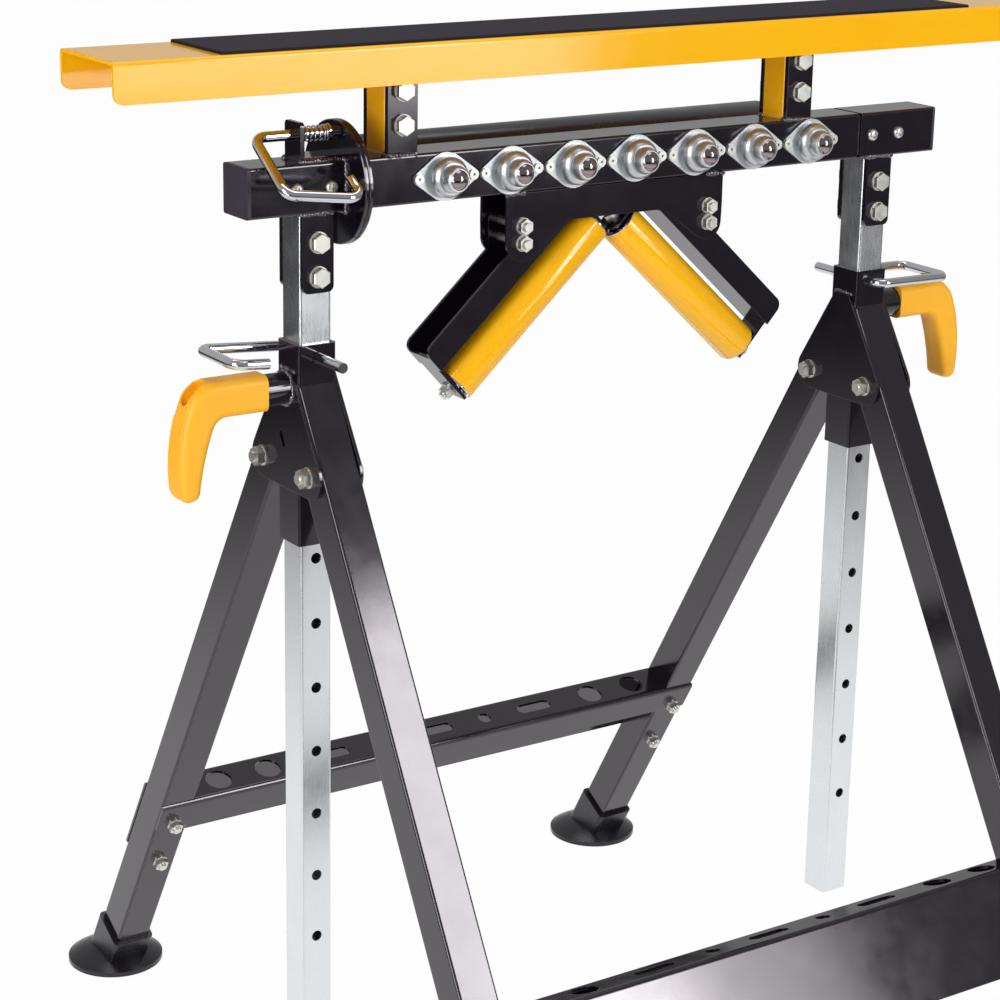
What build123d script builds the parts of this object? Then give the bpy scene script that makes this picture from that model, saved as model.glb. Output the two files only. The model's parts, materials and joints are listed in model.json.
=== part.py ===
from build123d import *
from math import cos, radians, sin, sqrt, tan
import os

os.makedirs("parts", exist_ok=True)

# A folding sawhorse: two pairs of folding legs carry two posts, and the posts carry a head that turns.
# Millimetres. X = 0 is the middle of the rail, Y = 0 the plane of the posts, Z = 0 the floor, -Y the front.

# Layout of the stand
stand_offset = 11.5  # middle of the stand from the middle of the rail
post_spacing = 643.2
lock_height = 776.9  # lock pins above the floor
head_above_lock = 150.7  # turning axis of the head above the lock pins
pivot_below_lock = 101.4  # leg pivots below the lock pins
clamp_below_lock = 28.9  # clamp levers below the lock pins
pivot_spread = 42.0  # leg pivots from the plane of the posts
leg_lean = 30.0  # degrees from upright

# Square tubes
post_size = 31.75
post_wall = 2.0
sleeve_wall = 2.8
slide_clearance = 0.375
leg_depth = 38.1
leg_wall = 2.0
head_tube = 44.45
head_tube_wall = 2.5
tube_corner = 2.5
inner_corner = 0.6

# Posts, straps and lock holes
post_length = 802.8
hole_pitch = 62.3
hole_margin = 100.0  # least height of a lock hole above the post's lower end
lock_rod = 9.5
lock_clearance = 0.4
strap_width = 31.0
strap_thickness = 5.0
strap_length = 70.4
strap_corner = 6.0
strap_bolt_drop = 25.4
strap_bolt_pitch = 30.5

# Sleeves and gussets
sleeve_length = 184.7
lock_to_rim = 12.0
gusset_thickness = 3.0
gusset_radius = 20.0
gusset_rise = 88.5
gusset_top_width = 24.0
gusset_top_corner = 4.0
weld_slot_length = 16.0
weld_slot_width = 7.0
weld_slot_rise = 24.5
weld_slot_offset = 6.0
weld_slot_angle = 60.0

# Legs, trays and feet
leg_side_gap = 0.3
leg_stop_gap = 0.1
leg_end_height = 21.6
tray_height = 251.0
tray_thickness = 3.0
tray_bend = 2.0
tray_flange = 34.0
tray_face = 96.0
tray_web_drop = 8.0
tray_bolt_first = 28.0
tray_bolt_pitch = 66.0
slot_pitch = 131.0
slot_length = 44.0
slot_width = 14.0
small_hole_offset = 65.0
small_hole = 15.0
large_hole_offsets = (208.0, 266.0)
large_hole = 28.0
foot_diameter = 102.0
foot_rim = 5.0
foot_dome = 20.0
foot_wall = 4.0
foot_clearance = 0.2
foot_corner = 5.0
socket_height = 50.0

# Hexagon bolts with flanges: M10 and M8
bolt_ten = 10.0
bolt_eight = 8.0
flats_per_diameter = 1.6
head_per_diameter = 0.6
crown_per_diameter = 0.075
nut_per_diameter = 0.75
flange_per_diameter = 1.93
flange_height = 1.6
thread_end = 3.0
thread_clearance = 0.1
bolt_clearance = 0.25
running_clearance = 0.05

# Stubs, bearing blocks and index discs
stub_outer_reach = 69.4
stub_inner_reach = 27.6
turret_end_gap = 4.0
plug_flange = 3.0
plug_insert = 14.0
plug_clearance = 0.15
block_length = 64.0
journal = 20.0
journal_length = 58.0
shaft_plug_length = 40.0
screw = 6.0
screw_head = 12.0
screw_head_height = 3.6
screw_length = 14.0
screw_skin = 2.0  # metal between a screw's tip and the journal
screw_pitch = 34.0
disc_diameter = 110.0
disc_thickness = 4.0
disc_gap = 0.3
disc_chamfer = 0.8
disc_bore_clearance = 0.5
index_count = 4

# Index pin, its bracket and its spring
index_radius = 44.4
index_rod = 9.5
index_clearance = 0.3
index_travel = 5.0
index_tip_gap = 0.4
index_end_gap = 0.6
index_handle_out = 79.0  # first bend of the handle from the fixed disc
index_handle_reach = 70.0
index_handle_flare = 12.0  # how much further out the handle's far end stands
index_handle_angle = 55.0
index_return = 24.0
rod_bend = 11.0
bracket_plate = 4.0
bracket_width = 28.0
bracket_height = 34.0
bracket_reach = 37.0  # spring seat from the fixed disc
bracket_corner = 4.0
collar_diameter = 15.0
collar_width = 2.5
spring_wire = 1.6
spring_diameter = 14.4
spring_turns = 6
spring_seat_gap = 0.2
spring_end_turn = 50.0  # degrees of the wire that close each end
spring_end_rise = 4.0
wire_samples = 600
wire_own_stretch = 4.0  # wire diameters that count as one stretch

# Rail, its posts and its grip strip
rail_length = 1030.0
rail_width = 102.0
rail_flange = 35.0
rail_wall = 3.0
rail_bend = 3.5
rail_corner = 9.0
rail_post_spacing = 450.0
rail_post_length = 98.5
ear_width = 30.5
ear_thickness = 5.0
ear_height = 72.0
ear_corner = 5.0
ear_bolt_rise = 26.5
ear_bolt_pitch = 30.6
grip_width = 94.0
grip_thickness = 2.6
grip_inset = 100.0
grip_edge = 0.8

# Ball units
ball_count = 7
ball_pitch = 70.0
ball_row_offset = 28.5
ball = 22.0
ball_clearance = 0.3
ball_stand = 18.0  # ball centre from the face of the turret
flange_thickness = 2.0
flange_across = 44.0
flange_hole_spacing = 57.5
flange_tip = 5.2
cup_diameter = 37.5
cup_wall_height = 7.0
dome_diameter = 29.0
dome_height = 15.0
dome_radius = 10.0
neck_diameter = 26.0
neck_radius = 20.0
lip_height = 24.6
lip_wall = 2.0
rivet = 5.0
rivet_head = 9.5
rivet_head_height = 2.0
rivet_tail = 4.0
rivet_dimple = 2.5

# V unit under the turret
v_offset = 9.5
v_angle = 42.5
v_roller = 40.0
v_roller_wall = 2.0
v_roller_length = 203.0
v_roller_spread = 90.75
v_roller_drop = 108.2
v_plate_half = 124.0
v_plate_depth = 29.4
v_plate_thickness = 3.0
v_lobe = 17.0
v_lobe_root = 67.0
v_bolt_spread = 106.5
v_bolt_drop = 30.4
v_bolt_pitch = 16.0
arm_thickness = 3.0
arm_inset = 0.2
arm_near = 31.0
arm_far = 57.0
arm_start = 80.0
arm_ear = 12.0
arm_corner = 9.0
end_plate_foot = 12.0
end_plate_width = 28.0
roller_end_gap = 2.4
apex_plate = 3.0
apex_width = 30.0
apex_foot = 18.0
apex_bend = 3.5
apex_tail = 13.0  # tongue below the axle
apex_corner = 10.0
axle = 8.0
cap_length = 12.0
cap_inset = 1.0
cap_clearance = 0.1
roller_rim = 0.7

# Roller at the back of the turret
back_roller = 57.0
back_roller_wall = 2.5
back_roller_length = 480.0
back_roller_gap = 9.0
back_bracket = 4.0
back_bracket_radius = 16.0
back_axle = 10.0

# Clamp levers and lock pins
boss_diameter = 29.0
boss_length = 24.0
stud = 12.0
stud_hole_clearance = 0.5
stud_tip_gap = 0.4
stud_in_lever = 30.0
lever_gap = 0.4
lever_thickness = 33.0
lever_width = 30.0
lever_round = 9.4
tip_share = 0.96  # most of the tip's half width that its rounding takes
rim_share = 0.9  # most of a rounding or half width that the rim's rounding takes
lever_elbow = 50.6  # start of the outer bend from the lever's inner end
lever_outer_bend = 26.0
lever_outer_turn = 68.0
lever_grip_bend = 160.0
lever_grip_turn = 33.0
lever_inner = 38.8  # start of the inner bend from the lever's inner end
lever_inner_bend = 14.0
lever_inner_turn = 70.0
lever_palm_bend = 259.0
lever_palm_turn = 14.0
lever_tip_round = 10.5
recess_length = 27.0
recess_width = 14.0
recess_depth = 8.0
recess_angle = 45.0
lock_tip = 64.0
lock_bend_reach = 32.0
lock_arm = 90.0
lock_run = 66.0
lock_return = 33.0
left_lock_tilt = 4.5  # degrees that a handle stands above level
right_lock_tilt = -1.0

# Heights and places that follow from the sizes above
axis_height = lock_height + head_above_lock
pivot_height = lock_height - pivot_below_lock
clamp_height = lock_height - clamp_below_lock
sleeve_bore = post_size + 2 * slide_clearance
sleeve_size = sleeve_bore + 2 * sleeve_wall
sleeve_top = lock_height + lock_to_rim
leg_width = sleeve_size - 2 * leg_side_gap
head_top = axis_height + head_tube / 2
head_bottom = axis_height - head_tube / 2
head_face = head_tube / 2
post_bottom = head_bottom - post_length
strap_face = post_size / 2 + strap_thickness
ear_face = post_size / 2 + ear_thickness
left_x = stand_offset - post_spacing / 2
right_x = stand_offset + post_spacing / 2
stand_sides = (("left", left_x, -1), ("right", right_x, 1))
left_stub_inner = left_x + stub_inner_reach
right_stub_inner = right_x - stub_inner_reach
fixed_disc_end = left_stub_inner + disc_thickness
turret_disc_start = fixed_disc_end + disc_gap
turret_start = turret_disc_start + disc_thickness
turret_end = right_stub_inner - turret_end_gap
index_height = axis_height + index_radius
rail_underside = head_top + rail_post_length
rail_top = rail_underside + rail_wall
lock_hole = lock_rod + 2 * lock_clearance
index_hole = index_rod + 2 * index_clearance
lean_sine = sin(radians(leg_lean))
lean_cosine = cos(radians(leg_lean))


def write(part, node):
    """Label a finished piece and write it under its node's name."""
    part.label = node
    export_step(part, f"parts/{node}.step")


def tube_inside(size, wall):
    """Side and corner radius of the space inside a square tube."""
    return size - 2 * wall, max(tube_corner - wall, inner_corner)


def square_tube(plane, width, depth, wall, length):
    """A square tube drawn on a plane and run along its normal."""
    bore_corner = tube_inside(width, wall)[1]
    with BuildPart() as tube:
        with BuildSketch(plane):
            RectangleRounded(width, depth, tube_corner)
            RectangleRounded(width - 2 * wall, depth - 2 * wall, bore_corner, mode=Mode.SUBTRACT)
        extrude(amount=length)
    return tube.part


def along_x(x, y=0.0, z=axis_height):
    """A plane at x that faces +X, with Y and Z as its own directions."""
    return Plane(origin=(x, y, z), x_dir=(0, 1, 0), z_dir=(1, 0, 0))


def bolt(seat, size, grip):
    """A flanged hexagon bolt: its head stands behind the seat, its shank runs along the normal."""
    nut_side = size * nut_per_diameter + flange_height + thread_end
    with BuildPart() as fastener:
        with BuildSketch(seat):
            Circle(size / 2)
        extrude(amount=grip + nut_side)
        with BuildSketch(seat):
            Circle(size * flange_per_diameter / 2)
        extrude(amount=-flange_height)
        with BuildSketch(seat.offset(-flange_height)):
            RegularPolygon(size * flats_per_diameter / 2, 6, major_radius=False)
        extrude(amount=-size * head_per_diameter)
        crown = fastener.faces().sort_by(Axis(seat.origin, seat.z_dir))[0]
        chamfer(crown.edges(), length=size * crown_per_diameter)
    return fastener.part


def nut(seat, size):
    """A flanged hexagon nut that sits on a seat and stands along the seat's normal."""
    bore = size / 2 + thread_clearance
    with BuildPart() as fastener:
        with BuildSketch(seat):
            Circle(size * flange_per_diameter / 2)
            Circle(bore, mode=Mode.SUBTRACT)
        extrude(amount=flange_height)
        with BuildSketch(seat.offset(flange_height)):
            RegularPolygon(size * flats_per_diameter / 2, 6, major_radius=False)
            Circle(bore, mode=Mode.SUBTRACT)
        extrude(amount=size * nut_per_diameter)
    return fastener.part


def bolt_and_nut(seat, size, grip):
    """A bolt through a grip, and the nut at the far side of it."""
    return [bolt(seat, size, grip), nut(seat.offset(grip), size)]


def bent_rod(points, diameter, bend):
    """A round rod along a line of points, bent at each corner."""
    first = Vector(*points[0])
    second = Vector(*points[1])
    with BuildPart() as rod:
        with BuildLine() as path:
            FilletPolyline(*points, radius=bend)
        with BuildSketch(Plane(origin=first, z_dir=second - first)):
            Circle(diameter / 2)
        sweep(path=path.wires()[0])
    return rod.part


def mirrored(part, plane):
    """A copy of a part on the other side of a plane."""
    with BuildPart() as copy:
        mirror(part, about=plane)
    return copy.part


def on_leg(x, out, down):
    """A point of the front legs: out from the leg's middle, and down along it from the pivot."""
    return Vector(
        x,
        -pivot_spread - down * lean_sine - out * lean_cosine,
        pivot_height - down * lean_cosine + out * lean_sine,
    )


leg_out = Vector(0, -lean_cosine, lean_sine)
leg_down = Vector(0, -lean_sine, -lean_cosine)


def down_to(height):
    """How far down the leg from its pivot its middle line comes to a height."""
    return (pivot_height - height) / lean_cosine


leg_length = down_to(leg_end_height)
tray_down = down_to(tray_height)
tray_bolts_down = (tray_down + tray_bolt_first, tray_down + tray_bolt_first + tray_bolt_pitch)

# Sleeves, with the lock hole front to back and the clamp hole outboard
for side, x, outward in stand_sides:
    lower_rim = Plane((x, 0, sleeve_top - sleeve_length))
    with BuildPart() as sleeve:
        add(square_tube(lower_rim, sleeve_size, sleeve_size, sleeve_wall, sleeve_length))
        with BuildSketch(Plane.XZ):
            with Locations((x, lock_height)):
                Circle(lock_hole / 2)
        extrude(amount=sleeve_size, both=True, mode=Mode.SUBTRACT)
        with BuildSketch(along_x(x, 0, clamp_height)):
            Circle(stud / 2 + stud_hole_clearance)
        extrude(amount=outward * sleeve_size, mode=Mode.SUBTRACT)
    write(sleeve.part, f"{side}_sleeve")

# Gusset plates, a pair on the two sides of each sleeve
for side, x, outward in stand_sides:
    with BuildPart() as gussets:
        for face in (-1, 1):
            near = x + face * sleeve_size / 2
            with BuildSketch(along_x(near, 0, pivot_height)):
                with Locations((-pivot_spread, 0), (pivot_spread, 0)):
                    Circle(gusset_radius)
                with Locations((0, gusset_rise - gusset_top_corner)):
                    SlotOverall(gusset_top_width, 2 * gusset_top_corner)
                make_hull()
                with Locations((-pivot_spread, 0), (pivot_spread, 0)):
                    Circle(bolt_ten / 2 + bolt_clearance, mode=Mode.SUBTRACT)
                if face == outward:
                    with Locations((0, clamp_height - pivot_height)):
                        Circle(stud / 2 + stud_hole_clearance, mode=Mode.SUBTRACT)
                    with Locations((weld_slot_offset, weld_slot_rise)):
                        SlotOverall(
                            weld_slot_length,
                            weld_slot_width,
                            rotation=weld_slot_angle,
                            mode=Mode.SUBTRACT,
                        )
            extrude(amount=face * gusset_thickness)
    write(gussets.part, f"{side}_gussets")

# Leg pivot bolts, heads towards +X
pivot_seat = sleeve_size / 2 + gusset_thickness
pivot_fasteners = []
for side, x, outward in stand_sides:
    for y in (-pivot_spread, pivot_spread):
        seat = Plane(origin=(x + pivot_seat, y, pivot_height), z_dir=(-1, 0, 0))
        pivot_fasteners += bolt_and_nut(seat, bolt_ten, 2 * pivot_seat)
with BuildPart() as pivot_bolts:
    add(pivot_fasteners)
write(pivot_bolts.part, "pivot_bolts")

# Clamp bosses on the outer gussets
with BuildPart() as clamp_bosses:
    for side, x, outward in stand_sides:
        with BuildSketch(along_x(x + outward * pivot_seat, 0, clamp_height)):
            Circle(boss_diameter / 2)
            Circle(stud / 2 + running_clearance, mode=Mode.SUBTRACT)
        extrude(amount=outward * boss_length)
write(clamp_bosses.part, "clamp_bosses")

# Legs: mitred on top to lie on the sleeve, and square at the lower end
mitre_face = sleeve_size / 2 + leg_stop_gap
leg_above = (pivot_spread - mitre_face + leg_depth * lean_cosine / 2) / lean_sine
for side, x, outward in stand_sides:
    leg_top = Plane(on_leg(x, 0, -leg_above), x_dir=(1, 0, 0), z_dir=leg_down)
    with BuildPart() as leg:
        add(square_tube(leg_top, leg_width, leg_depth, leg_wall, leg_above + leg_length))
        split(bisect_by=Plane((0, -mitre_face, 0), z_dir=(0, -1, 0)))
        with BuildSketch(along_x(x, -pivot_spread, pivot_height)):
            Circle(bolt_ten / 2 + running_clearance)
        extrude(amount=leg_width, both=True, mode=Mode.SUBTRACT)
        for down in tray_bolts_down:
            with BuildSketch(Plane(on_leg(x, 0, down), x_dir=(1, 0, 0), z_dir=leg_out)):
                Circle(bolt_eight / 2 + bolt_clearance)
            extrude(amount=leg_depth, both=True, mode=Mode.SUBTRACT)
    write(leg.part, f"front_{side}_leg")
    write(mirrored(leg.part, Plane.XZ), f"rear_{side}_leg")

# Tool tray: a folded sheet with a short inner flange, a sloping web and a tall outer face
tray_half = (post_spacing + leg_width) / 2
web_half = (post_spacing - leg_width) / 2
tray_plane = Plane(on_leg(stand_offset, 0, 0), x_dir=leg_out, z_dir=(1, 0, 0))
web_slope = Vector(leg_depth, tray_web_drop).normalized()
web_middle = on_leg(stand_offset, 0, tray_down + tray_web_drop / 2)
web_across = leg_out * web_slope.X + leg_down * web_slope.Y
with BuildPart() as tray:
    with BuildSketch(tray_plane):
        with BuildLine():
            inside = FilletPolyline(
                (-leg_depth / 2, tray_down + tray_flange),
                (-leg_depth / 2, tray_down),
                (leg_depth / 2, tray_down + tray_web_drop),
                (leg_depth / 2, tray_down + tray_web_drop + tray_face),
                radius=tray_bend,
            )
            offset(inside, amount=tray_thickness, side=Side.RIGHT)
        make_face()
    extrude(amount=tray_half, both=True)
    for end in (-1, 1):
        with BuildSketch(tray_plane.offset(end * web_half)):
            with Locations((0, tray_down)):
                Rectangle(leg_depth, 2 * tray_flange)
        extrude(amount=end * leg_width, mode=Mode.SUBTRACT)
    with BuildSketch(Plane(web_middle, x_dir=(1, 0, 0), z_dir=web_across.cross(Vector(1, 0, 0)))):
        with Locations((-slot_pitch, 0), (0, 0), (slot_pitch, 0)):
            SlotOverall(slot_length, slot_width)
        with Locations((-small_hole_offset, 0), (small_hole_offset, 0)):
            Circle(small_hole / 2)
        for reach in large_hole_offsets:
            with Locations((-reach, 0), (reach, 0)):
                Circle(large_hole / 2)
    extrude(amount=2 * tray_thickness, both=True, mode=Mode.SUBTRACT)
    for side, x, outward in stand_sides:
        for down in tray_bolts_down:
            with BuildSketch(Plane(on_leg(x, 0, down), x_dir=(1, 0, 0), z_dir=leg_out)):
                Circle(bolt_eight / 2 + bolt_clearance)
            extrude(amount=leg_depth, both=True, mode=Mode.SUBTRACT)
write(tray.part, "front_tray")
write(mirrored(tray.part, Plane.XZ), "rear_tray")

# Tray bolts: the upper ones go through flange, leg and face, the lower ones through leg and face
tray_fasteners = []
for side, x, outward in stand_sides:
    for down, inner_sheet in zip(tray_bolts_down, (tray_thickness, 0)):
        seat = Plane(on_leg(x, leg_depth / 2 + tray_thickness, down), z_dir=leg_out * -1)
        tray_fasteners += bolt_and_nut(seat, bolt_eight, leg_depth + tray_thickness + inner_sheet)
with BuildPart() as tray_bolts:
    add(tray_fasteners)
write(tray_bolts.part, "front_tray_bolts")
write(mirrored(tray_bolts.part, Plane.XZ), "rear_tray_bolts")

# Feet: a low dome with a slanting square socket for the leg
foot_reach = pivot_spread + pivot_height * tan(radians(leg_lean))
socket_down = down_to(socket_height)
socket_grow = 2 * (foot_clearance + foot_wall)
foot_solids = []
for side, x, outward in stand_sides:
    with BuildPart() as foot:
        with BuildSketch(Plane((x, -foot_reach, 0), x_dir=(1, 0, 0), z_dir=(0, -1, 0))):
            with BuildLine():
                Polyline((0, foot_dome), (0, 0), (foot_diameter / 2, 0), (foot_diameter / 2, foot_rim))
                TangentArc((0, foot_dome), (foot_diameter / 2, foot_rim), tangent=(1, 0))
            make_face()
        revolve(axis=Axis((x, -foot_reach, 0), (0, 0, 1)))
        with BuildSketch(Plane(on_leg(x, 0, socket_down), x_dir=(1, 0, 0), z_dir=leg_down)):
            RectangleRounded(leg_width + socket_grow, leg_depth + socket_grow, foot_corner)
        extrude(amount=socket_height / lean_cosine)
        split(bisect_by=Plane.XY)
        with BuildSketch(Plane(on_leg(x, 0, leg_length), x_dir=(1, 0, 0), z_dir=leg_down * -1)):
            RectangleRounded(leg_width + 2 * foot_clearance, leg_depth + 2 * foot_clearance, tube_corner)
        extrude(amount=leg_length - socket_down + foot_diameter, mode=Mode.SUBTRACT)
    foot_solids.append(foot.part)
with BuildPart() as feet:
    add(foot_solids)
write(feet.part, "front_feet")
write(mirrored(feet.part, Plane.XZ), "rear_feet")

# Posts with a row of lock holes, as many as the length below the lock pin has room for
lock_holes = int((lock_height - post_bottom - hole_margin) // hole_pitch) + 1
strap_bolt_heights = (head_bottom - strap_bolt_drop, head_bottom - strap_bolt_drop - strap_bolt_pitch)
for side, x, outward in stand_sides:
    with BuildPart() as post:
        add(square_tube(Plane((x, 0, post_bottom)), post_size, post_size, post_wall, post_length))
        with BuildSketch(Plane.XZ):
            with Locations(*[(x, lock_height - step * hole_pitch) for step in range(lock_holes)]):
                Circle(lock_hole / 2)
            with Locations(*[(x, height) for height in strap_bolt_heights]):
                Circle(bolt_ten / 2 + bolt_clearance)
        extrude(amount=post_size, both=True, mode=Mode.SUBTRACT)
    write(post.part, f"{side}_post")

# Straps under the stubs, on the front and back of each post
with BuildPart() as post_straps:
    for side, x, outward in stand_sides:
        for start in (post_size / 2, -strap_face):
            with BuildSketch(Plane.XZ.offset(start)) as strap:
                with Locations((x, head_bottom - strap_length / 2)):
                    Rectangle(strap_width, strap_length)
                fillet(strap.vertices().group_by(Axis.Y)[0], radius=strap_corner)
                with Locations(*[(x, height) for height in strap_bolt_heights]):
                    Circle(bolt_ten / 2 + bolt_clearance, mode=Mode.SUBTRACT)
            extrude(amount=strap_thickness)
write(post_straps.part, "post_straps")

strap_fasteners = []
for side, x, outward in stand_sides:
    for height in strap_bolt_heights:
        seat = Plane(origin=(x, -strap_face, height), z_dir=(0, 1, 0))
        strap_fasteners += bolt_and_nut(seat, bolt_ten, 2 * strap_face)
with BuildPart() as strap_bolts:
    add(strap_fasteners)
write(strap_bolts.part, "strap_bolts")

# Stubs at the two ends of the head, with bearing blocks, front screws and end plugs
stub_length = stub_outer_reach + stub_inner_reach - plug_flange
tube_space, space_corner = tube_inside(head_tube, head_tube_wall)
fitted = tube_space - 2 * plug_clearance
screw_floor = journal / 2 + screw_skin
screw_places = (block_length / 2 - screw_pitch / 2, block_length / 2 + screw_pitch / 2)
for side, inner, outward in (("left", left_stub_inner, -1), ("right", right_stub_inner, 1)):
    with BuildPart() as stub:
        start = min(inner, inner + outward * stub_length)
        add(square_tube(along_x(start), head_tube, head_tube, head_tube_wall, stub_length))
        with BuildSketch(Plane.XZ):
            with Locations(*[(inner + outward * place, axis_height) for place in screw_places]):
                Circle(screw / 2 + bolt_clearance)
        extrude(amount=head_tube, mode=Mode.SUBTRACT)
    write(stub.part, f"{side}_stub")

with BuildPart() as bearing_blocks:
    for inner, outward in ((left_stub_inner, -1), (right_stub_inner, 1)):
        with BuildSketch(along_x(inner)):
            RectangleRounded(fitted, fitted, space_corner)
            Circle(journal / 2 + running_clearance, mode=Mode.SUBTRACT)
        extrude(amount=outward * block_length)
        with BuildSketch(Plane.XZ.offset(screw_floor)):
            with Locations(*[(inner + outward * place, axis_height) for place in screw_places]):
                Circle(screw / 2 + thread_clearance)
        extrude(amount=head_tube, mode=Mode.SUBTRACT)
write(bearing_blocks.part, "bearing_blocks")

screw_reach = min(screw_length, head_face - screw_floor - thread_clearance)
with BuildPart() as stub_screws:
    for inner, outward in ((left_stub_inner, -1), (right_stub_inner, 1)):
        for place in screw_places:
            x = inner + outward * place
            with BuildSketch(Plane((x, -head_face, axis_height), x_dir=(1, 0, 0), z_dir=(0, 1, 0))):
                Circle(screw / 2)
            extrude(amount=screw_reach)
            with BuildSketch(Plane((x, -head_face, axis_height), x_dir=(1, 0, 0), z_dir=(0, 0, 1))):
                with BuildLine():
                    Polyline((0, -screw_head_height), (0, 0), (screw_head / 2, 0))
                    TangentArc((0, -screw_head_height), (screw_head / 2, 0), tangent=(1, 0))
                make_face()
            revolve(axis=Axis((x, 0, axis_height), (0, 1, 0)))
write(stub_screws.part, "stub_screws")

with BuildPart() as stub_end_plugs:
    for inner, outward in ((left_stub_inner, -1), (right_stub_inner, 1)):
        with BuildSketch(along_x(inner + outward * stub_length)):
            RectangleRounded(head_tube, head_tube, tube_corner)
        extrude(amount=outward * plug_flange)
        with BuildSketch(along_x(inner + outward * stub_length)):
            RectangleRounded(fitted, fitted, space_corner)
        extrude(amount=-outward * plug_insert)
write(stub_end_plugs.part, "stub_end_plugs")

# Index discs: one fixed to the left stub, one turning with the turret
discs = (("fixed_index_disc", left_stub_inner, 1), ("turret_index_disc", turret_disc_start, index_count))
for node, start, holes in discs:
    with BuildPart() as disc:
        with BuildSketch(along_x(start)):
            Circle(disc_diameter / 2)
            Circle(journal / 2 + disc_bore_clearance, mode=Mode.SUBTRACT)
            with PolarLocations(index_radius, holes, start_angle=90):
                Circle(index_hole / 2, mode=Mode.SUBTRACT)
        extrude(amount=disc_thickness)
        rims = disc.edges().filter_by(GeomType.CIRCLE).filter_by(lambda edge: edge.radius > index_radius)
        chamfer(rims, length=disc_chamfer)
    write(disc.part, node)

# Index bracket: an upright plate that guides the pin and seats the spring, on a foot along the stub
spring_seat = left_stub_inner - bracket_reach
with BuildPart() as index_bracket:
    with BuildSketch(along_x(spring_seat, 0, head_top)) as upright:
        with Locations((0, bracket_height / 2)):
            Rectangle(bracket_width, bracket_height)
        fillet(upright.vertices().group_by(Axis.Y)[-1], radius=bracket_corner)
        with Locations((0, index_height - head_top)):
            Circle(index_hole / 2, mode=Mode.SUBTRACT)
    extrude(amount=-bracket_plate)
    with BuildSketch(Plane((spring_seat + bracket_reach / 2, 0, head_top))):
        Rectangle(bracket_reach, bracket_width)
    extrude(amount=bracket_plate)
write(index_bracket.part, "index_bracket")

# Index pin: a straight shaft with a collar, and a handle bent back along it
pin_tip = turret_disc_start - index_tip_gap
collar_end = left_stub_inner - index_travel - index_end_gap
handle_x = left_stub_inner - index_handle_out
handle_far = left_stub_inner - index_travel - index_end_gap - index_rod / 2
handle_y = -sin(radians(index_handle_angle))
handle_z = -cos(radians(index_handle_angle))
far_reach = index_handle_reach + index_handle_flare
return_reach = far_reach - index_return
pin_rod = bent_rod(
    [
        (pin_tip, 0, index_height),
        (handle_x, 0, index_height),
        (handle_x, index_handle_reach * handle_y, index_height + index_handle_reach * handle_z),
        (handle_far, far_reach * handle_y, index_height + far_reach * handle_z),
        (handle_far, return_reach * handle_y, index_height + return_reach * handle_z),
    ],
    index_rod,
    rod_bend,
)
with BuildPart() as index_pin:
    add(pin_rod)
    with BuildSketch(along_x(collar_end, 0, index_height)):
        Circle(collar_diameter / 2)
    extrude(amount=-collar_width)
write(index_pin.part, "index_pin")

# Index spring: a wound wire, each quarter turn two arcs, with straight ends square to its seats
spring_radius = (spring_diameter - spring_wire) / 2
spring_start = spring_seat + spring_seat_gap
spring_end = collar_end - collar_width - spring_seat_gap
quarter_steps = 4 * spring_turns
coil_start = spring_start + spring_end_rise
coil_length = spring_end - spring_start - 2 * spring_end_rise
end_turn = radians(spring_end_turn)


def coil_point(x, angle):
    """A point of the wire's middle line at an angle about the pin."""
    return Vector(x, spring_radius * sin(angle), index_height + spring_radius * cos(angle))


def coil_tangent(angle):
    """The direction of the winding at an angle about the pin."""
    turn = Vector(0, spring_radius * cos(angle), -spring_radius * sin(angle))
    return (turn + Vector(coil_length / radians(90 * quarter_steps), 0, 0)).normalized()


def two_arcs(start, start_way, end, end_way):
    """Two arcs that leave start along start_way and reach end along end_way."""
    chord = end - start
    ways = start_way + end_way
    bend = 2 * (1 - start_way.dot(end_way))
    along = chord.dot(ways)
    reach = (sqrt(along * along + bend * chord.dot(chord)) - along) / bend
    first = start + start_way * reach
    second = end - end_way * reach
    middle = (first + second) * 0.5
    way = (second - first).normalized()
    TangentArc(start, middle, tangent=start_way)
    TangentArc(middle, end, tangent=way)


straight = Vector(1, 0, 0)
last_angle = radians(90 * quarter_steps)
wire_stops = [(coil_point(spring_start + spring_wire, -end_turn), straight)]
for step in range(quarter_steps + 1):
    angle = radians(90 * step)
    wire_x = coil_start + coil_length * step / quarter_steps
    wire_stops.append((coil_point(wire_x, angle), coil_tangent(angle)))
wire_stops.append((coil_point(spring_end - spring_wire, last_angle + end_turn), straight))
with BuildPart() as index_spring:
    with BuildLine() as wire:
        Line(coil_point(spring_start, -end_turn), wire_stops[0][0])
        for (start, start_way), (end, end_way) in zip(wire_stops, wire_stops[1:]):
            two_arcs(start, start_way, end, end_way)
        Line(wire_stops[-1][0], coil_point(spring_end, last_angle + end_turn))
    with BuildSketch(Plane(origin=coil_point(spring_start, -end_turn), z_dir=straight)):
        Circle(spring_wire / 2)
    sweep(path=wire.wires()[0])
write(index_spring.part, "index_spring")

# Least gap between turns of the wire, measured on points along its middle line
wire_path = wire.wires()[0]
wire_points = [wire_path.position_at(step / wire_samples) for step in range(wire_samples + 1)]
apart = int(wire_samples * wire_own_stretch * spring_wire / wire_path.length)
least = min(
    (wire_points[near] - wire_points[far]).length
    for near in range(wire_samples + 1)
    for far in range(near + apart, wire_samples + 1)
)
print("spring: least gap between turns", round(least - spring_wire, 2), "mm")

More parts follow.
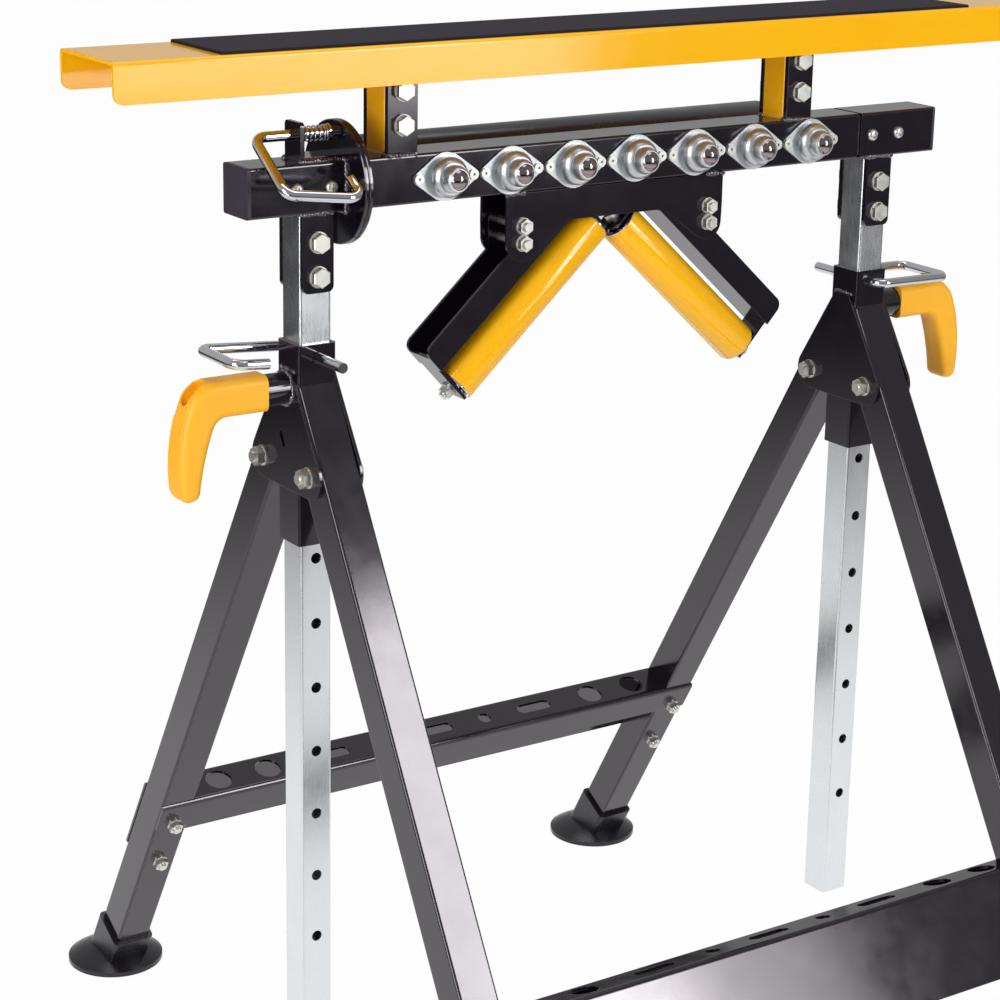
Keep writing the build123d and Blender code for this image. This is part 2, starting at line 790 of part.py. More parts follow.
# Turret tube between the stubs
rivet_places = []
for unit in range(ball_count):
    middle = ball_row_offset + (unit - (ball_count - 1) / 2) * ball_pitch
    rivet_places += [middle - flange_hole_spacing / 2, middle + flange_hole_spacing / 2]
rivet_floor = head_face - head_tube_wall - rivet_tail - thread_clearance
turret_length = turret_end - turret_start
with BuildPart() as turret_tube:
    add(square_tube(along_x(turret_start), head_tube, head_tube, head_tube_wall, turret_length))
    with BuildSketch(Plane.XZ):
        with Locations(*[(x, axis_height) for x in rivet_places]):
            Circle(rivet / 2 + thread_clearance)
    extrude(amount=head_tube, mode=Mode.SUBTRACT)
write(turret_tube.part, "turret_tube")

# Pivot shafts: square plugs in the turret's ends with round journals in the bearing blocks
with BuildPart() as turret_shafts:
    for end, inner, outward in ((turret_start, left_stub_inner, -1), (turret_end, right_stub_inner, 1)):
        with BuildSketch(along_x(end)):
            RectangleRounded(fitted, fitted, space_corner)
        extrude(amount=-outward * shaft_plug_length)
        with BuildSketch(along_x(end)):
            Circle(journal / 2)
        extrude(amount=outward * (abs(inner - end) + journal_length))
    with BuildSketch(Plane.XZ.offset(rivet_floor)):
        with Locations(*[(x, axis_height) for x in rivet_places]):
            Circle(rivet / 2 + thread_clearance)
    extrude(amount=head_tube, mode=Mode.SUBTRACT)
write(turret_shafts.part, "turret_shafts")

# Rail: a channel turned upside down, with the lower corners of its flanges rounded
with BuildPart() as rail:
    with BuildSketch(along_x(-rail_length / 2, 0, rail_top)):
        with BuildLine():
            top = FilletPolyline(
                (-rail_width / 2, -rail_flange),
                (-rail_width / 2, 0),
                (rail_width / 2, 0),
                (rail_width / 2, -rail_flange),
                radius=rail_bend,
            )
            offset(top, amount=rail_wall, side=Side.RIGHT)
        make_face()
    extrude(amount=rail_length)
    lower = rail.edges().filter_by(Axis.Y).group_by(Axis.Z)[0]
    fillet(lower, radius=rail_corner)
write(rail.part, "rail")

# Rail posts, their ears on the turret, and the ear bolts
rail_post_places = (-rail_post_spacing / 2, rail_post_spacing / 2)
ear_bolt_heights = (head_top + ear_bolt_rise, head_top + ear_bolt_rise + ear_bolt_pitch)
ear_bolt_places = [(x, height) for x in rail_post_places for height in ear_bolt_heights]
rail_post_tubes = [
    square_tube(Plane((x, 0, head_top)), post_size, post_size, post_wall, rail_post_length)
    for x in rail_post_places
]
with BuildPart() as rail_posts:
    add(rail_post_tubes)
    with BuildSketch(Plane.XZ):
        with Locations(*ear_bolt_places):
            Circle(bolt_ten / 2 + bolt_clearance)
    extrude(amount=post_size, both=True, mode=Mode.SUBTRACT)
write(rail_posts.part, "rail_posts")

with BuildPart() as rail_ears:
    for x in rail_post_places:
        for start in (post_size / 2, -ear_face):
            with BuildSketch(Plane.XZ.offset(start)) as ear:
                with Locations((x, head_top + ear_height / 2)):
                    Rectangle(ear_width, ear_height)
                fillet(ear.vertices().group_by(Axis.Y)[-1], radius=ear_corner)
                with Locations(*[(x, height) for height in ear_bolt_heights]):
                    Circle(bolt_ten / 2 + bolt_clearance, mode=Mode.SUBTRACT)
            extrude(amount=ear_thickness)
write(rail_ears.part, "rail_ears")

ear_fasteners = []
for x, height in ear_bolt_places:
    seat = Plane(origin=(x, -ear_face, height), z_dir=(0, 1, 0))
    ear_fasteners += bolt_and_nut(seat, bolt_ten, 2 * ear_face)
with BuildPart() as ear_bolts:
    add(ear_fasteners)
write(ear_bolts.part, "ear_bolts")

# Rubber grip strip on the rail
with BuildPart() as grip_strip:
    with BuildSketch(Plane((0, 0, rail_top))):
        Rectangle(rail_length - 2 * grip_inset, grip_width)
    extrude(amount=grip_thickness)
    chamfer(grip_strip.faces().sort_by(Axis.Z)[-1].edges(), length=grip_edge)
write(grip_strip.part, "grip_strip")

# Ball units: a turned cup on a pointed flange, a ball that is free in it, and two rivets
ball_middle = -head_face - ball_stand
lip_radius = sqrt((ball / 2) ** 2 - (lip_height - ball_stand) ** 2) + ball_clearance
ball_seat = ball / 2 + ball_clearance
cup_solids = []
for unit in range(ball_count):
    x = ball_row_offset + (unit - (ball_count - 1) / 2) * ball_pitch
    wings = ((x - flange_hole_spacing / 2, axis_height), (x + flange_hole_spacing / 2, axis_height))
    with BuildPart() as cup:
        with BuildSketch(Plane.XZ.offset(head_face)):
            with Locations((x, axis_height)):
                Circle(flange_across / 2)
            with Locations(*wings):
                Circle(flange_tip)
            make_hull()
            with Locations(*wings):
                Circle(rivet / 2 + thread_clearance, mode=Mode.SUBTRACT)
        extrude(amount=flange_thickness)
        with BuildSketch(Plane((x, -head_face, axis_height), x_dir=(1, 0, 0), z_dir=(0, 0, 1))):
            with BuildLine():
                Polyline(
                    (0, -lip_height),
                    (0, 0),
                    (cup_diameter / 2, 0),
                    (cup_diameter / 2, -cup_wall_height),
                )
                dome_rim = (dome_diameter / 2, -dome_height)
                RadiusArc((cup_diameter / 2, -cup_wall_height), dome_rim, dome_radius)
                neck_foot = (neck_diameter / 2, -dome_height)
                Line(dome_rim, neck_foot)
                lip_edge = (lip_radius + lip_wall, -lip_height + lip_wall / 2)
                RadiusArc(neck_foot, lip_edge, neck_radius)
                Polyline(lip_edge, (lip_radius + lip_wall / 2, -lip_height), (0, -lip_height))
            make_face()
        revolve(axis=Axis((x, 0, axis_height), (0, 1, 0)))
        with Locations((x, ball_middle, axis_height)):
            Sphere(ball_seat, mode=Mode.SUBTRACT)
    cup_solids.append(cup.part)
    with BuildPart() as free_ball:
        with Locations((x, ball_middle, axis_height)):
            Sphere(ball / 2)
    write(free_ball.part, f"ball_{unit + 1}")
with BuildPart() as ball_cups:
    add(cup_solids)
write(ball_cups.part, "ball_cups")

with BuildPart() as ball_rivets:
    for x in rivet_places:
        seat = Plane((x, -head_face - flange_thickness, axis_height), x_dir=(1, 0, 0), z_dir=(0, 1, 0))
        with BuildSketch(seat):
            Circle(rivet / 2)
        extrude(amount=flange_thickness + head_tube_wall + rivet_tail)
        with BuildSketch(seat):
            Circle(rivet_head / 2)
            Circle(rivet_dimple / 2, mode=Mode.SUBTRACT)
        extrude(amount=-rivet_head_height)
write(ball_rivets.part, "ball_rivets")

# V unit. The right half is drawn along its roller and mirrored for the left one.
v_mirror = Plane.YZ.offset(v_offset)
v_sine = sin(radians(v_angle))
v_cosine = cos(radians(v_angle))
v_middle = Vector(v_offset + v_roller_spread, 0, head_bottom - v_roller_drop)
v_along = Vector(v_cosine, 0, -v_sine)
v_out = Vector(v_sine, 0, v_cosine)
roller_end = v_roller_length / 2 + roller_end_gap
v_bolt_heights = (head_bottom - v_bolt_drop, head_bottom - v_bolt_drop - v_bolt_pitch)
v_bolt_places = [
    (v_offset + sign * v_bolt_spread, height)
    for sign in (-1, 1)
    for height in v_bolt_heights
]
arm_face = head_face - v_plate_thickness - arm_inset


def on_roller(along, out, y=0.0):
    """A point in the right roller's frame: along its axis from its middle, and out towards its guard."""
    return v_middle + v_along * along + v_out * out + Vector(0, y, 0)


def facing_along(along):
    """A plane across the right roller that faces down along it, with Y as its first direction."""
    return Plane(on_roller(along, 0), x_dir=(0, 1, 0), z_dir=v_along)


def in_roller_frame(x, height):
    """Along and out of a place on the front plane, for the right roller."""
    away = Vector(x, 0, height) - v_middle
    return away.dot(v_along), away.dot(v_out)


with BuildPart() as v_plates:
    for start in (head_face - v_plate_thickness, -head_face):
        for sign in (-1, 1):
            root = v_offset + sign * (v_plate_half - v_lobe_root / 2)
            with BuildSketch(Plane.XZ.offset(start)):
                with Locations((v_offset + sign * v_bolt_spread, v_bolt_heights[1])):
                    Circle(v_lobe)
                with Locations((root, head_bottom - v_plate_depth)):
                    Rectangle(v_lobe_root, v_plate_thickness)
                make_hull()
            extrude(amount=v_plate_thickness)
        with BuildSketch(Plane.XZ.offset(start)):
            with Locations((v_offset, head_bottom - v_plate_depth / 2)):
                Rectangle(2 * v_plate_half, v_plate_depth)
        extrude(amount=v_plate_thickness)
    with BuildSketch(Plane.XZ):
        with Locations(*v_bolt_places):
            Circle(bolt_eight / 2 + bolt_clearance)
    extrude(amount=head_tube, both=True, mode=Mode.SUBTRACT)
write(v_plates.part, "v_plates")

v_fasteners = []
for x, height in v_bolt_places:
    seat = Plane(origin=(x, head_face, height), z_dir=(0, -1, 0))
    v_fasteners += bolt_and_nut(seat, bolt_eight, 2 * head_face)
with BuildPart() as v_bolts:
    add(v_fasteners)
write(v_bolts.part, "v_bolts")

# Guard arm: a channel with its web beside the roller, ears for the bolts and an end plate for the axle
arm_plane = Plane(v_middle, x_dir=v_along, z_dir=(0, -1, 0))
arm_end = roller_end + arm_thickness
end_plate_far = arm_far - arm_corner
ear_places = [in_roller_frame(v_offset + v_bolt_spread, height) for height in v_bolt_heights]
with BuildPart() as right_arm:
    for start in (arm_face - arm_thickness, -arm_face):
        with BuildSketch(arm_plane.offset(start)):
            with Locations(*ear_places):
                Circle(arm_ear)
            make_hull()
        extrude(amount=arm_thickness)
        with BuildSketch(arm_plane.offset(start)) as flange:
            with Locations(((arm_end - arm_start) / 2, (arm_near + arm_far) / 2)):
                Rectangle(arm_end + arm_start, arm_far - arm_near)
            fillet(flange.vertices().group_by(Axis.X)[-1].sort_by(Axis.Y)[-1], radius=arm_corner)
        extrude(amount=arm_thickness)
    with BuildSketch(arm_plane):
        with Locations(*ear_places):
            Circle(bolt_eight / 2 + bolt_clearance)
    extrude(amount=head_tube, both=True, mode=Mode.SUBTRACT)
    with BuildSketch(arm_plane):
        with Locations(((arm_end - arm_start) / 2, arm_near + arm_thickness / 2)):
            Rectangle(arm_end + arm_start, arm_thickness)
    extrude(amount=arm_face, both=True)
    with BuildSketch(facing_along(roller_end)):
        with Locations((0, (end_plate_far + arm_near) / 2)):
            Rectangle(2 * arm_face, end_plate_far - arm_near)
        with Locations((0, (end_plate_far - end_plate_foot) / 2)):
            Rectangle(end_plate_width, end_plate_far + end_plate_foot)
        Circle(axle / 2 + bolt_clearance, mode=Mode.SUBTRACT)
    extrude(amount=arm_thickness)
with BuildPart() as guard_arms:
    add(right_arm.part)
    add(mirrored(right_arm.part, v_mirror))
write(guard_arms.part, "guard_arms")

# Apex bracket: two bent tongues under the turret that hold the upper ends of the axles
tongue_tip = on_roller(-roller_end, -apex_tail)
tongue_foot = head_bottom - apex_plate
tongue_rise = (tongue_foot - tongue_tip.Z) / v_cosine
tongue_top = on_roller(-roller_end, tongue_rise - apex_tail)
with BuildPart() as tongue:
    with BuildSketch(Plane.XZ):
        with BuildLine():
            under = FilletPolyline(
                (tongue_tip.X, tongue_tip.Z),
                (tongue_top.X, tongue_foot),
                (tongue_top.X + apex_foot, tongue_foot),
                radius=apex_bend,
            )
            offset(under, amount=apex_plate, side=Side.LEFT)
        make_face()
    extrude(amount=apex_width / 2, both=True)
    tip_edges = tongue.faces().sort_by(Axis.Z)[0].edges()
    fillet(tip_edges.filter_by(Axis.Y, reverse=True), radius=apex_corner)
    with BuildSketch(facing_along(-roller_end)):
        Circle(axle / 2 + bolt_clearance)
    extrude(amount=2 * apex_plate, both=True, mode=Mode.SUBTRACT)
with BuildPart() as apex_bracket:
    add(tongue.part)
    add(mirrored(tongue.part, v_mirror))
write(apex_bracket.part, "apex_bracket")

# Axles of the three rollers, with nuts at their ends
axle_nut = axle * nut_per_diameter + flange_height
axle_reach = axle_nut + thread_end
upper_seat = Plane(on_roller(-roller_end - apex_plate, 0), z_dir=v_along * -1)
lower_seat = Plane(on_roller(roller_end + arm_thickness, 0), z_dir=v_along)
with BuildPart() as v_axle:
    with BuildSketch(facing_along(-roller_end - apex_plate - axle_reach)):
        Circle(axle / 2)
    extrude(amount=2 * roller_end + apex_plate + arm_thickness + 2 * axle_reach)
v_axle_pieces = [v_axle.part, nut(upper_seat, axle), nut(lower_seat, axle)]

back_y = head_face + back_roller_gap + back_roller / 2
back_half = back_roller_length / 2 + roller_end_gap
back_nut = back_axle * nut_per_diameter + flange_height + thread_end
with BuildPart() as back_shaft:
    with BuildSketch(along_x(-back_half - back_bracket - back_nut, back_y)):
        Circle(back_axle / 2)
    extrude(amount=2 * (back_half + back_bracket + back_nut))
left_back_seat = Plane((-back_half - back_bracket, back_y, axis_height), z_dir=(-1, 0, 0))
right_back_seat = Plane((back_half + back_bracket, back_y, axis_height), z_dir=(1, 0, 0))
back_axle_pieces = [back_shaft.part, nut(left_back_seat, back_axle), nut(right_back_seat, back_axle)]
with BuildPart() as roller_axles:
    add(v_axle_pieces)
    add([mirrored(piece, v_mirror) for piece in v_axle_pieces])
    add(back_axle_pieces)
write(roller_axles.part, "roller_axles")

with BuildPart() as back_brackets:
    for sign in (-1, 1):
        with BuildSketch(along_x(sign * back_half)):
            with Locations((back_y, 0)):
                Circle(back_bracket_radius)
            with Locations(((head_face + back_y) / 2, 0)):
                Rectangle(back_y - head_face, 2 * back_bracket_radius)
            with Locations((back_y, 0)):
                Circle(back_axle / 2 + bolt_clearance, mode=Mode.SUBTRACT)
        extrude(amount=sign * back_bracket)
write(back_brackets.part, "back_roller_brackets")


def roller(middle, way, length, diameter, wall, shaft):
    """A tube roller with a bored cap in each end."""
    start = Plane(middle - way * (length / 2), z_dir=way)
    bore = diameter / 2 - wall
    pieces = []
    with BuildPart() as tube:
        with BuildSketch(start):
            Circle(diameter / 2)
            Circle(bore, mode=Mode.SUBTRACT)
        extrude(amount=length)
        rims = tube.edges().filter_by(GeomType.CIRCLE)
        outer_rims = rims.filter_by(lambda edge: edge.radius > bore + wall / 2)
        chamfer(outer_rims, length=min(roller_rim, wall / 2))
    pieces.append(tube.part)
    for near in (cap_inset, length - cap_inset - cap_length):
        with BuildPart() as cap:
            with BuildSketch(start.offset(near)):
                Circle(bore - cap_clearance)
                Circle(shaft / 2 + running_clearance, mode=Mode.SUBTRACT)
            extrude(amount=cap_length)
        pieces.append(cap.part)
    return pieces


right_roller_pieces = roller(v_middle, v_along, v_roller_length, v_roller, v_roller_wall, axle)
with BuildPart() as right_v_roller:
    add(right_roller_pieces)
write(right_v_roller.part, "right_v_roller")
with BuildPart() as left_v_roller:
    add([mirrored(piece, v_mirror) for piece in right_roller_pieces])
write(left_v_roller.part, "left_v_roller")

back_middle = Vector(0, back_y, axis_height)
back_way = Vector(1, 0, 0)
back_pieces = roller(back_middle, back_way, back_roller_length, back_roller, back_roller_wall, back_axle)
with BuildPart() as back_tube:
    add(back_pieces)
write(back_tube.part, "back_roller")

# Lock pins: a shaft through sleeve and post, and a handle bent round at its outboard side
for (side, x, outward), tilt in zip(stand_sides, (left_lock_tilt, right_lock_tilt)):
    turned = -outward
    run_side = turned * lock_bend_reach
    return_side = turned * (lock_bend_reach - lock_run)
    arm_way = Vector(outward * cos(radians(tilt)), 0, sin(radians(tilt)))
    shaft_bend = Vector(x, run_side, lock_height)
    arm_bend = shaft_bend + arm_way * lock_arm
    return_bend = Vector(arm_bend.X, return_side, arm_bend.Z)
    return_tip = return_bend - arm_way * lock_return
    lock_points = [
        (x, -turned * lock_tip, lock_height),
        tuple(shaft_bend),
        tuple(arm_bend),
        tuple(return_bend),
        tuple(return_tip),
    ]
    with BuildPart() as lock_pin:
        add(bent_rod(lock_points, lock_rod, rod_bend))
    write(lock_pin.part, f"{side}_lock_pin")

# Clamp levers: an arm along the stud and a grip that hangs from its elbow
lever_start = pivot_seat + boss_length + lever_gap
lever_half = lever_thickness / 2
recess_turn = radians(recess_angle)
for side, x, outward in stand_sides:
    lever_plane = Plane((x, 0, clamp_height), x_dir=(outward, 0, 0), z_dir=(0, -outward, 0))
    with BuildPart() as grip:
        with BuildSketch(lever_plane) as outline:
            with BuildLine():
                crest = Line((lever_start, lever_half), (lever_start + lever_elbow, lever_half))
                elbow = JernArc(crest @ 1, (1, 0), lever_outer_bend, -lever_outer_turn)
                back = JernArc(elbow @ 1, elbow % 1, lever_grip_bend, -lever_grip_turn)
                belly = Line((lever_start, -lever_half), (lever_start + lever_inner, -lever_half))
                crook = JernArc(belly @ 1, (1, 0), lever_inner_bend, -lever_inner_turn)
                palm = JernArc(crook @ 1, crook % 1, lever_palm_bend, -lever_palm_turn)
                tip = Line(back @ 1, palm @ 1)
                Line(crest @ 0, belly @ 0)
            make_face()
            tip_round = min(lever_tip_round, tip_share * tip.length / 2)
            fillet(outline.vertices().sort_by(Axis.Y)[:2], radius=tip_round)
        extrude(amount=lever_width / 2, both=True)
        rims = grip.edges().group_by(Axis.Y)[0] + grip.edges().group_by(Axis.Y)[-1]
        rim_round = min(lever_round, rim_share * tip_round, rim_share * lever_width / 2)
        fillet(rims.filter_by(Axis.Z, reverse=True), radius=rim_round)
        elbow_middle = lever_start + lever_elbow + lever_outer_bend * sin(recess_turn)
        elbow_rise = lever_half - lever_outer_bend * (1 - cos(recess_turn))
        with BuildSketch(
            Plane(
                (x + outward * elbow_middle, 0, clamp_height + elbow_rise),
                x_dir=(outward * cos(recess_turn), 0, -sin(recess_turn)),
                z_dir=(outward * sin(recess_turn), 0, cos(recess_turn)),
            )
        ):
            SlotOverall(recess_length, recess_width)
        extrude(amount=recess_depth, both=True, mode=Mode.SUBTRACT)
        with BuildSketch(along_x(x, 0, clamp_height)):
            Circle(stud / 2 + thread_clearance)
        extrude(amount=outward * (lever_start + stud_in_lever + thread_clearance), mode=Mode.SUBTRACT)
    with BuildPart() as clamp_stud:
        with BuildSketch(along_x(x + outward * (post_size / 2 + stud_tip_gap), 0, clamp_height)):
            Circle(stud / 2)
        extrude(amount=outward * (lever_start + stud_in_lever - post_size / 2 - stud_tip_gap))
    with BuildPart() as clamp_lever:
        add(grip.part)
        add(clamp_stud.part)
    write(clamp_lever.part, f"{side}_clamp_lever")
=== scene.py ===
# %% [markdown]
# # A folding sawhorse with a turning head
# The stand is square steel tube: two pairs of folding legs, two zinc-plated posts, and a head that
# carries a rail with a rubber strip, a row of balls, a V of rollers and one straight roller.
# Its shapes come from the CAD frame, in metres. This script gives every surface its finish, adds what
# is finer than the frame (weld beads, threads, screw recesses, the wound spring) and lights it.

# %% Load the frame
import json
import math
import bmesh
import bpy
import numpy
from mathutils import Matrix, Vector
from mathutils.bvhtree import BVHTree

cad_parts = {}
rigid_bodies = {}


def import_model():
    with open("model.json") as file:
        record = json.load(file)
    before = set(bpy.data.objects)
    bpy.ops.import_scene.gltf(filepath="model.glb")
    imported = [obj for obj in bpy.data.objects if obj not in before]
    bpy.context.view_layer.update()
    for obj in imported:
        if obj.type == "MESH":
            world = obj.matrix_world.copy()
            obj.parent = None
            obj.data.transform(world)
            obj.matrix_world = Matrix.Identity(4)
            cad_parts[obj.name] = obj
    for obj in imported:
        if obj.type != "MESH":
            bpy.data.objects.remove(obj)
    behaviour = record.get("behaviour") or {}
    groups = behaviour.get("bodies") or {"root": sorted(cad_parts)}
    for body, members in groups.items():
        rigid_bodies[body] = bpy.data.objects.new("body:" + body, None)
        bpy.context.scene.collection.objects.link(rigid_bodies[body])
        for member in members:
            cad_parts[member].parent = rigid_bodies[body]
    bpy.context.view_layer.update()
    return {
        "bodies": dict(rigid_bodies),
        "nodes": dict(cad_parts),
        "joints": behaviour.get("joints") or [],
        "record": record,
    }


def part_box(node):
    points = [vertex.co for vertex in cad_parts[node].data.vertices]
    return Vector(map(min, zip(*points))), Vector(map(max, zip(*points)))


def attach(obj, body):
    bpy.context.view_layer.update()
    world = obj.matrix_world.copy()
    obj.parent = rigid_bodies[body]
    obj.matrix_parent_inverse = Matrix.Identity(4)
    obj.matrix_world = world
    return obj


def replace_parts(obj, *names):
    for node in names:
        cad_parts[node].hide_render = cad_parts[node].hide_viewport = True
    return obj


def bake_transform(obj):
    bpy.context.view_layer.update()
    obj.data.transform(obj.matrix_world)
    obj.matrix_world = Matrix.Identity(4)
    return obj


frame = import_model()
nodes = frame["nodes"]
MM = 0.001
joint_place = {joint["name"]: Vector(joint["pos_m"]) for joint in frame["joints"]}
joint_axis = {joint["name"]: Vector(joint["axis"]) for joint in frame["joints"]}

# %% [markdown]
# ## Colours and shader nodes
# Paint and metal colours are easiest to compare as hex values on a screen, but a shader works in linear
# light, so one function turns hex into linear. A second one adds a node with its settings and links, and
# two more begin and end a finish, because all of them share the same frame. Patterns are drawn at a size
# in millimetres, which has to become the scale of a texture.


# %% Helpers for finishes
def linear(code):
    """A colour written as sRGB hex, in linear light with full alpha."""
    parts = [int(code[start:start + 2], 16) / 255 for start in (1, 3, 5)]
    return [p / 12.92 if p <= 0.04045 else ((p + 0.055) / 1.055) ** 2.4 for p in parts] + [1.0]


def put(tree, kind, values=None, links=None, **properties):
    """Add a node, then set its properties, its unlinked sockets and its links."""
    node = tree.nodes.new(kind)
    for name, value in properties.items():
        setattr(node, name, value)
    for socket, value in (values or {}).items():
        node.inputs[socket].default_value = value
    for socket, source in (links or {}).items():
        tree.links.new(source, node.inputs[socket])
    return node


def new_finish(name):
    """An empty material: its tree, its shader and the Object coordinates that patterns are drawn on."""
    material = bpy.data.materials.new(name)
    material.use_nodes = True
    tree = material.node_tree
    tree.nodes.clear()
    shader = put(tree, "ShaderNodeBsdfPrincipled")
    put(tree, "ShaderNodeOutputMaterial", links={"Surface": shader.outputs[0]})
    place = put(tree, "ShaderNodeTexCoord").outputs["Object"]
    return material, tree, shader, place


def end_finish(tree, shader, tone, rough, bump):
    """Link the nodes that give a finish its tone, its roughness and its small relief."""
    tree.links.new(tone.outputs[2], shader.inputs["Base Color"])
    tree.links.new(rough.outputs[0], shader.inputs["Roughness"])
    tree.links.new(bump.outputs[0], shader.inputs["Normal"])


def per_metre(millimetres):
    """The scale of a texture whose pattern repeats about every so many millimetres."""
    return 1 / (millimetres * MM)


NOISE_MOSTLY = {"From Min": 0.3, "From Max": 0.7}  # a noise lies between these nearly everywhere
print("a pattern of 4 mm has a texture scale of", per_metre(4))

# %% [markdown]
# ## Gloss enamel, black and yellow
# The tubes and plates are sprayed with thick gloss enamel. It dries with a faint orange peel, which breaks
# up the edges of reflections, and it draws thin over sharp edges, which then catch the light as a line.
# A noise gives the peel, a slower one lets the tone and gloss drift, and a bevel in the shading rounds the
# edges of the sheet metal by less than a millimetre. A modelled bevel would look the same from this far and
# would have to change the frame's own meshes.

# %% Enamel
TONE_DRIFT_MM = 90
HAZE_MM = 25
PAINT_EDGE = 0.7 * MM


def enamel(name, dark, light, gloss, dull, peel_mm, peel_height_mm, ior=1.5, shine="#FFFFFF"):
    """Sprayed gloss paint: a clear skin over one colour, with orange peel and soft edges."""
    material, tree, shader, place = new_finish(name)
    shader.inputs["IOR"].default_value = ior
    shader.inputs["Specular Tint"].default_value = linear(shine)
    drift = put(tree, "ShaderNodeTexNoise", {"Scale": per_metre(TONE_DRIFT_MM), "Detail": 3.0},
                {"Vector": place})
    tone = put(tree, "ShaderNodeMix", {6: linear(dark), 7: linear(light)},
               {0: drift.outputs["Fac"]}, data_type="RGBA")
    haze = put(tree, "ShaderNodeTexNoise", {"Scale": per_metre(HAZE_MM), "Detail": 4.0}, {"Vector": place})
    rough = put(tree, "ShaderNodeMapRange", {**NOISE_MOSTLY, "To Min": gloss, "To Max": dull},
                {"Value": haze.outputs["Fac"]})
    edge = put(tree, "ShaderNodeBevel", {"Radius": PAINT_EDGE}, samples=4)
    peel = put(tree, "ShaderNodeTexNoise", {"Scale": per_metre(peel_mm), "Detail": 1.0}, {"Vector": place})
    bump = put(tree, "ShaderNodeBump", {"Strength": 1.0, "Distance": peel_height_mm * MM},
               {"Height": peel.outputs["Fac"], "Normal": edge.outputs[0]})
    end_finish(tree, shader, tone, rough, bump)
    return material


# Near black with a trace of violet. The IOR is above that of plain paint, to match how much it mirrors.
black_enamel = enamel("black_gloss_enamel", "#0D0811", "#130C17", 0.1, 0.15, 4.0, 0.006, 1.7, "#F8F1F8")
# The same paint over the lumps of a weld, where each lump shows as a small bright glint.
bead_enamel = enamel("black_enamel_on_weld", "#0D0811", "#130C17", 0.06, 0.14, 2.0, 0.01, 2.4, "#F8F1F8")
# Warm yellow with a peel that shows: the highlights on the rail and the V rollers break up at their edges.
yellow_enamel = enamel("yellow_gloss_enamel", "#EDAB08", "#F3B510", 0.08, 0.14, 2.8, 0.025, 1.45)
# A thinner and duller dark coat: the highlight along the back roller is broad and soft.
dark_roller_enamel = enamel("dark_roller_enamel", "#16121D", "#1D1826", 0.2, 0.3, 2.5, 0.01, 1.6)
print("enamels:", [finish.name for finish in (black_enamel, bead_enamel, yellow_enamel, dark_roller_enamel)])

# %% [markdown]
# ## Zinc plate and chrome
# The posts are electroplated with zinc: a pale bluish metal with a fine sparkle, drawn lines along the tube
# and cloudy patches. Bolts and rivets are small zinc pieces, a little warmer, and the ball cups are pressed
# from sheet and plated to a satin grey. The pins and roller caps are polished. The balls are polished steel,
# but their colour is drawn darker and browner as a painted reflection of the dark surroundings they mirror.
# All of them are metals, so their colour is in the reflection and the IOR stays at its default.

# %% Plated metals
GRAIN_SHARE = 0.4


def plated(name, dark, light, bright, dull, cloud_mm, grain_mm, along_z, grain_height_mm):
    """A plated metal: clouded tone, roughness that drifts, and a fine grain that may be drawn out along Z."""
    material, tree, shader, place = new_finish(name)
    shader.inputs["Metallic"].default_value = 1.0
    cloud = put(tree, "ShaderNodeTexNoise", {"Scale": per_metre(cloud_mm), "Detail": 4.0}, {"Vector": place})
    stretched = put(tree, "ShaderNodeMapping", {"Scale": (1, 1, 1 / along_z)}, {"Vector": place})
    grain = put(tree, "ShaderNodeTexNoise", {"Scale": per_metre(grain_mm), "Detail": 3.0},
                {"Vector": stretched.outputs[0]})
    both = put(tree, "ShaderNodeMix", {0: GRAIN_SHARE}, {2: cloud.outputs["Fac"], 3: grain.outputs["Fac"]})
    tone = put(tree, "ShaderNodeMix", {6: linear(dark), 7: linear(light)},
               {0: both.outputs[0]}, data_type="RGBA")
    rough = put(tree, "ShaderNodeMapRange", {**NOISE_MOSTLY, "To Min": bright, "To Max": dull},
                {"Value": both.outputs[0]})
    bump = put(tree, "ShaderNodeBump", {"Strength": 1.0, "Distance": grain_height_mm * MM},
               {"Height": grain.outputs["Fac"]})
    end_finish(tree, shader, tone, rough, bump)
    return material


# The grain of real plating is finer than a tenth of a millimetre. All of these draw it near a millimetre, so
# that it shows.
# Pale and bluish, with streaks along the posts and slow clouds.
zinc_tube = plated("zinc_plated_tube", "#D2D8DE", "#F0F2F2", 0.2, 0.32, 40, 1.6, 14, 0.01)
# Warmer and rougher, so that a bolt head is bright without a mirror image.
zinc_small = plated("zinc_plated_hardware", "#C9C9C3", "#EAE9E4", 0.3, 0.44, 8, 1.4, 1, 0.012)
# Satin grey: the domes of the cups shade softly from light to dark.
zinc_cup = plated("zinc_plated_cup", "#B4B8BC", "#DCDEE0", 0.3, 0.42, 14, 1.2, 1, 0.001)
# A clear mirror image, with hardly any grain.
polished = plated("polished_chrome", "#C8CAD2", "#DADCE2", 0.04, 0.1, 15, 0.7, 1, 0.001)
# A mirror painted darker and brownish: the tone stands in for the dark surroundings the balls reflect, and
# sets them off from their cups.
ball_steel_with_painted_reflection = plated("polished_ball_steel_with_painted_reflection", "#8E8284", "#A39799", 0.05, 0.1, 15, 0.7, 1, 0.0005)
print("metals:", [finish.name for finish in (zinc_tube, zinc_small, zinc_cup, polished, ball_steel_with_painted_reflection)])

# %% [markdown]
# ## Moulded plastic and rubber
# The clamp levers are yellow nylon with a fine moulded grain, the feet black polyethylene, a little waxy, and
# the plugs in the head's end stubs a satin dark plastic. The strip on the rail is dark rubber sheet, matte.
# All four come from one function, because they differ only in colour, gloss and grain.

# %% Plastics
PATCH_MM = 35


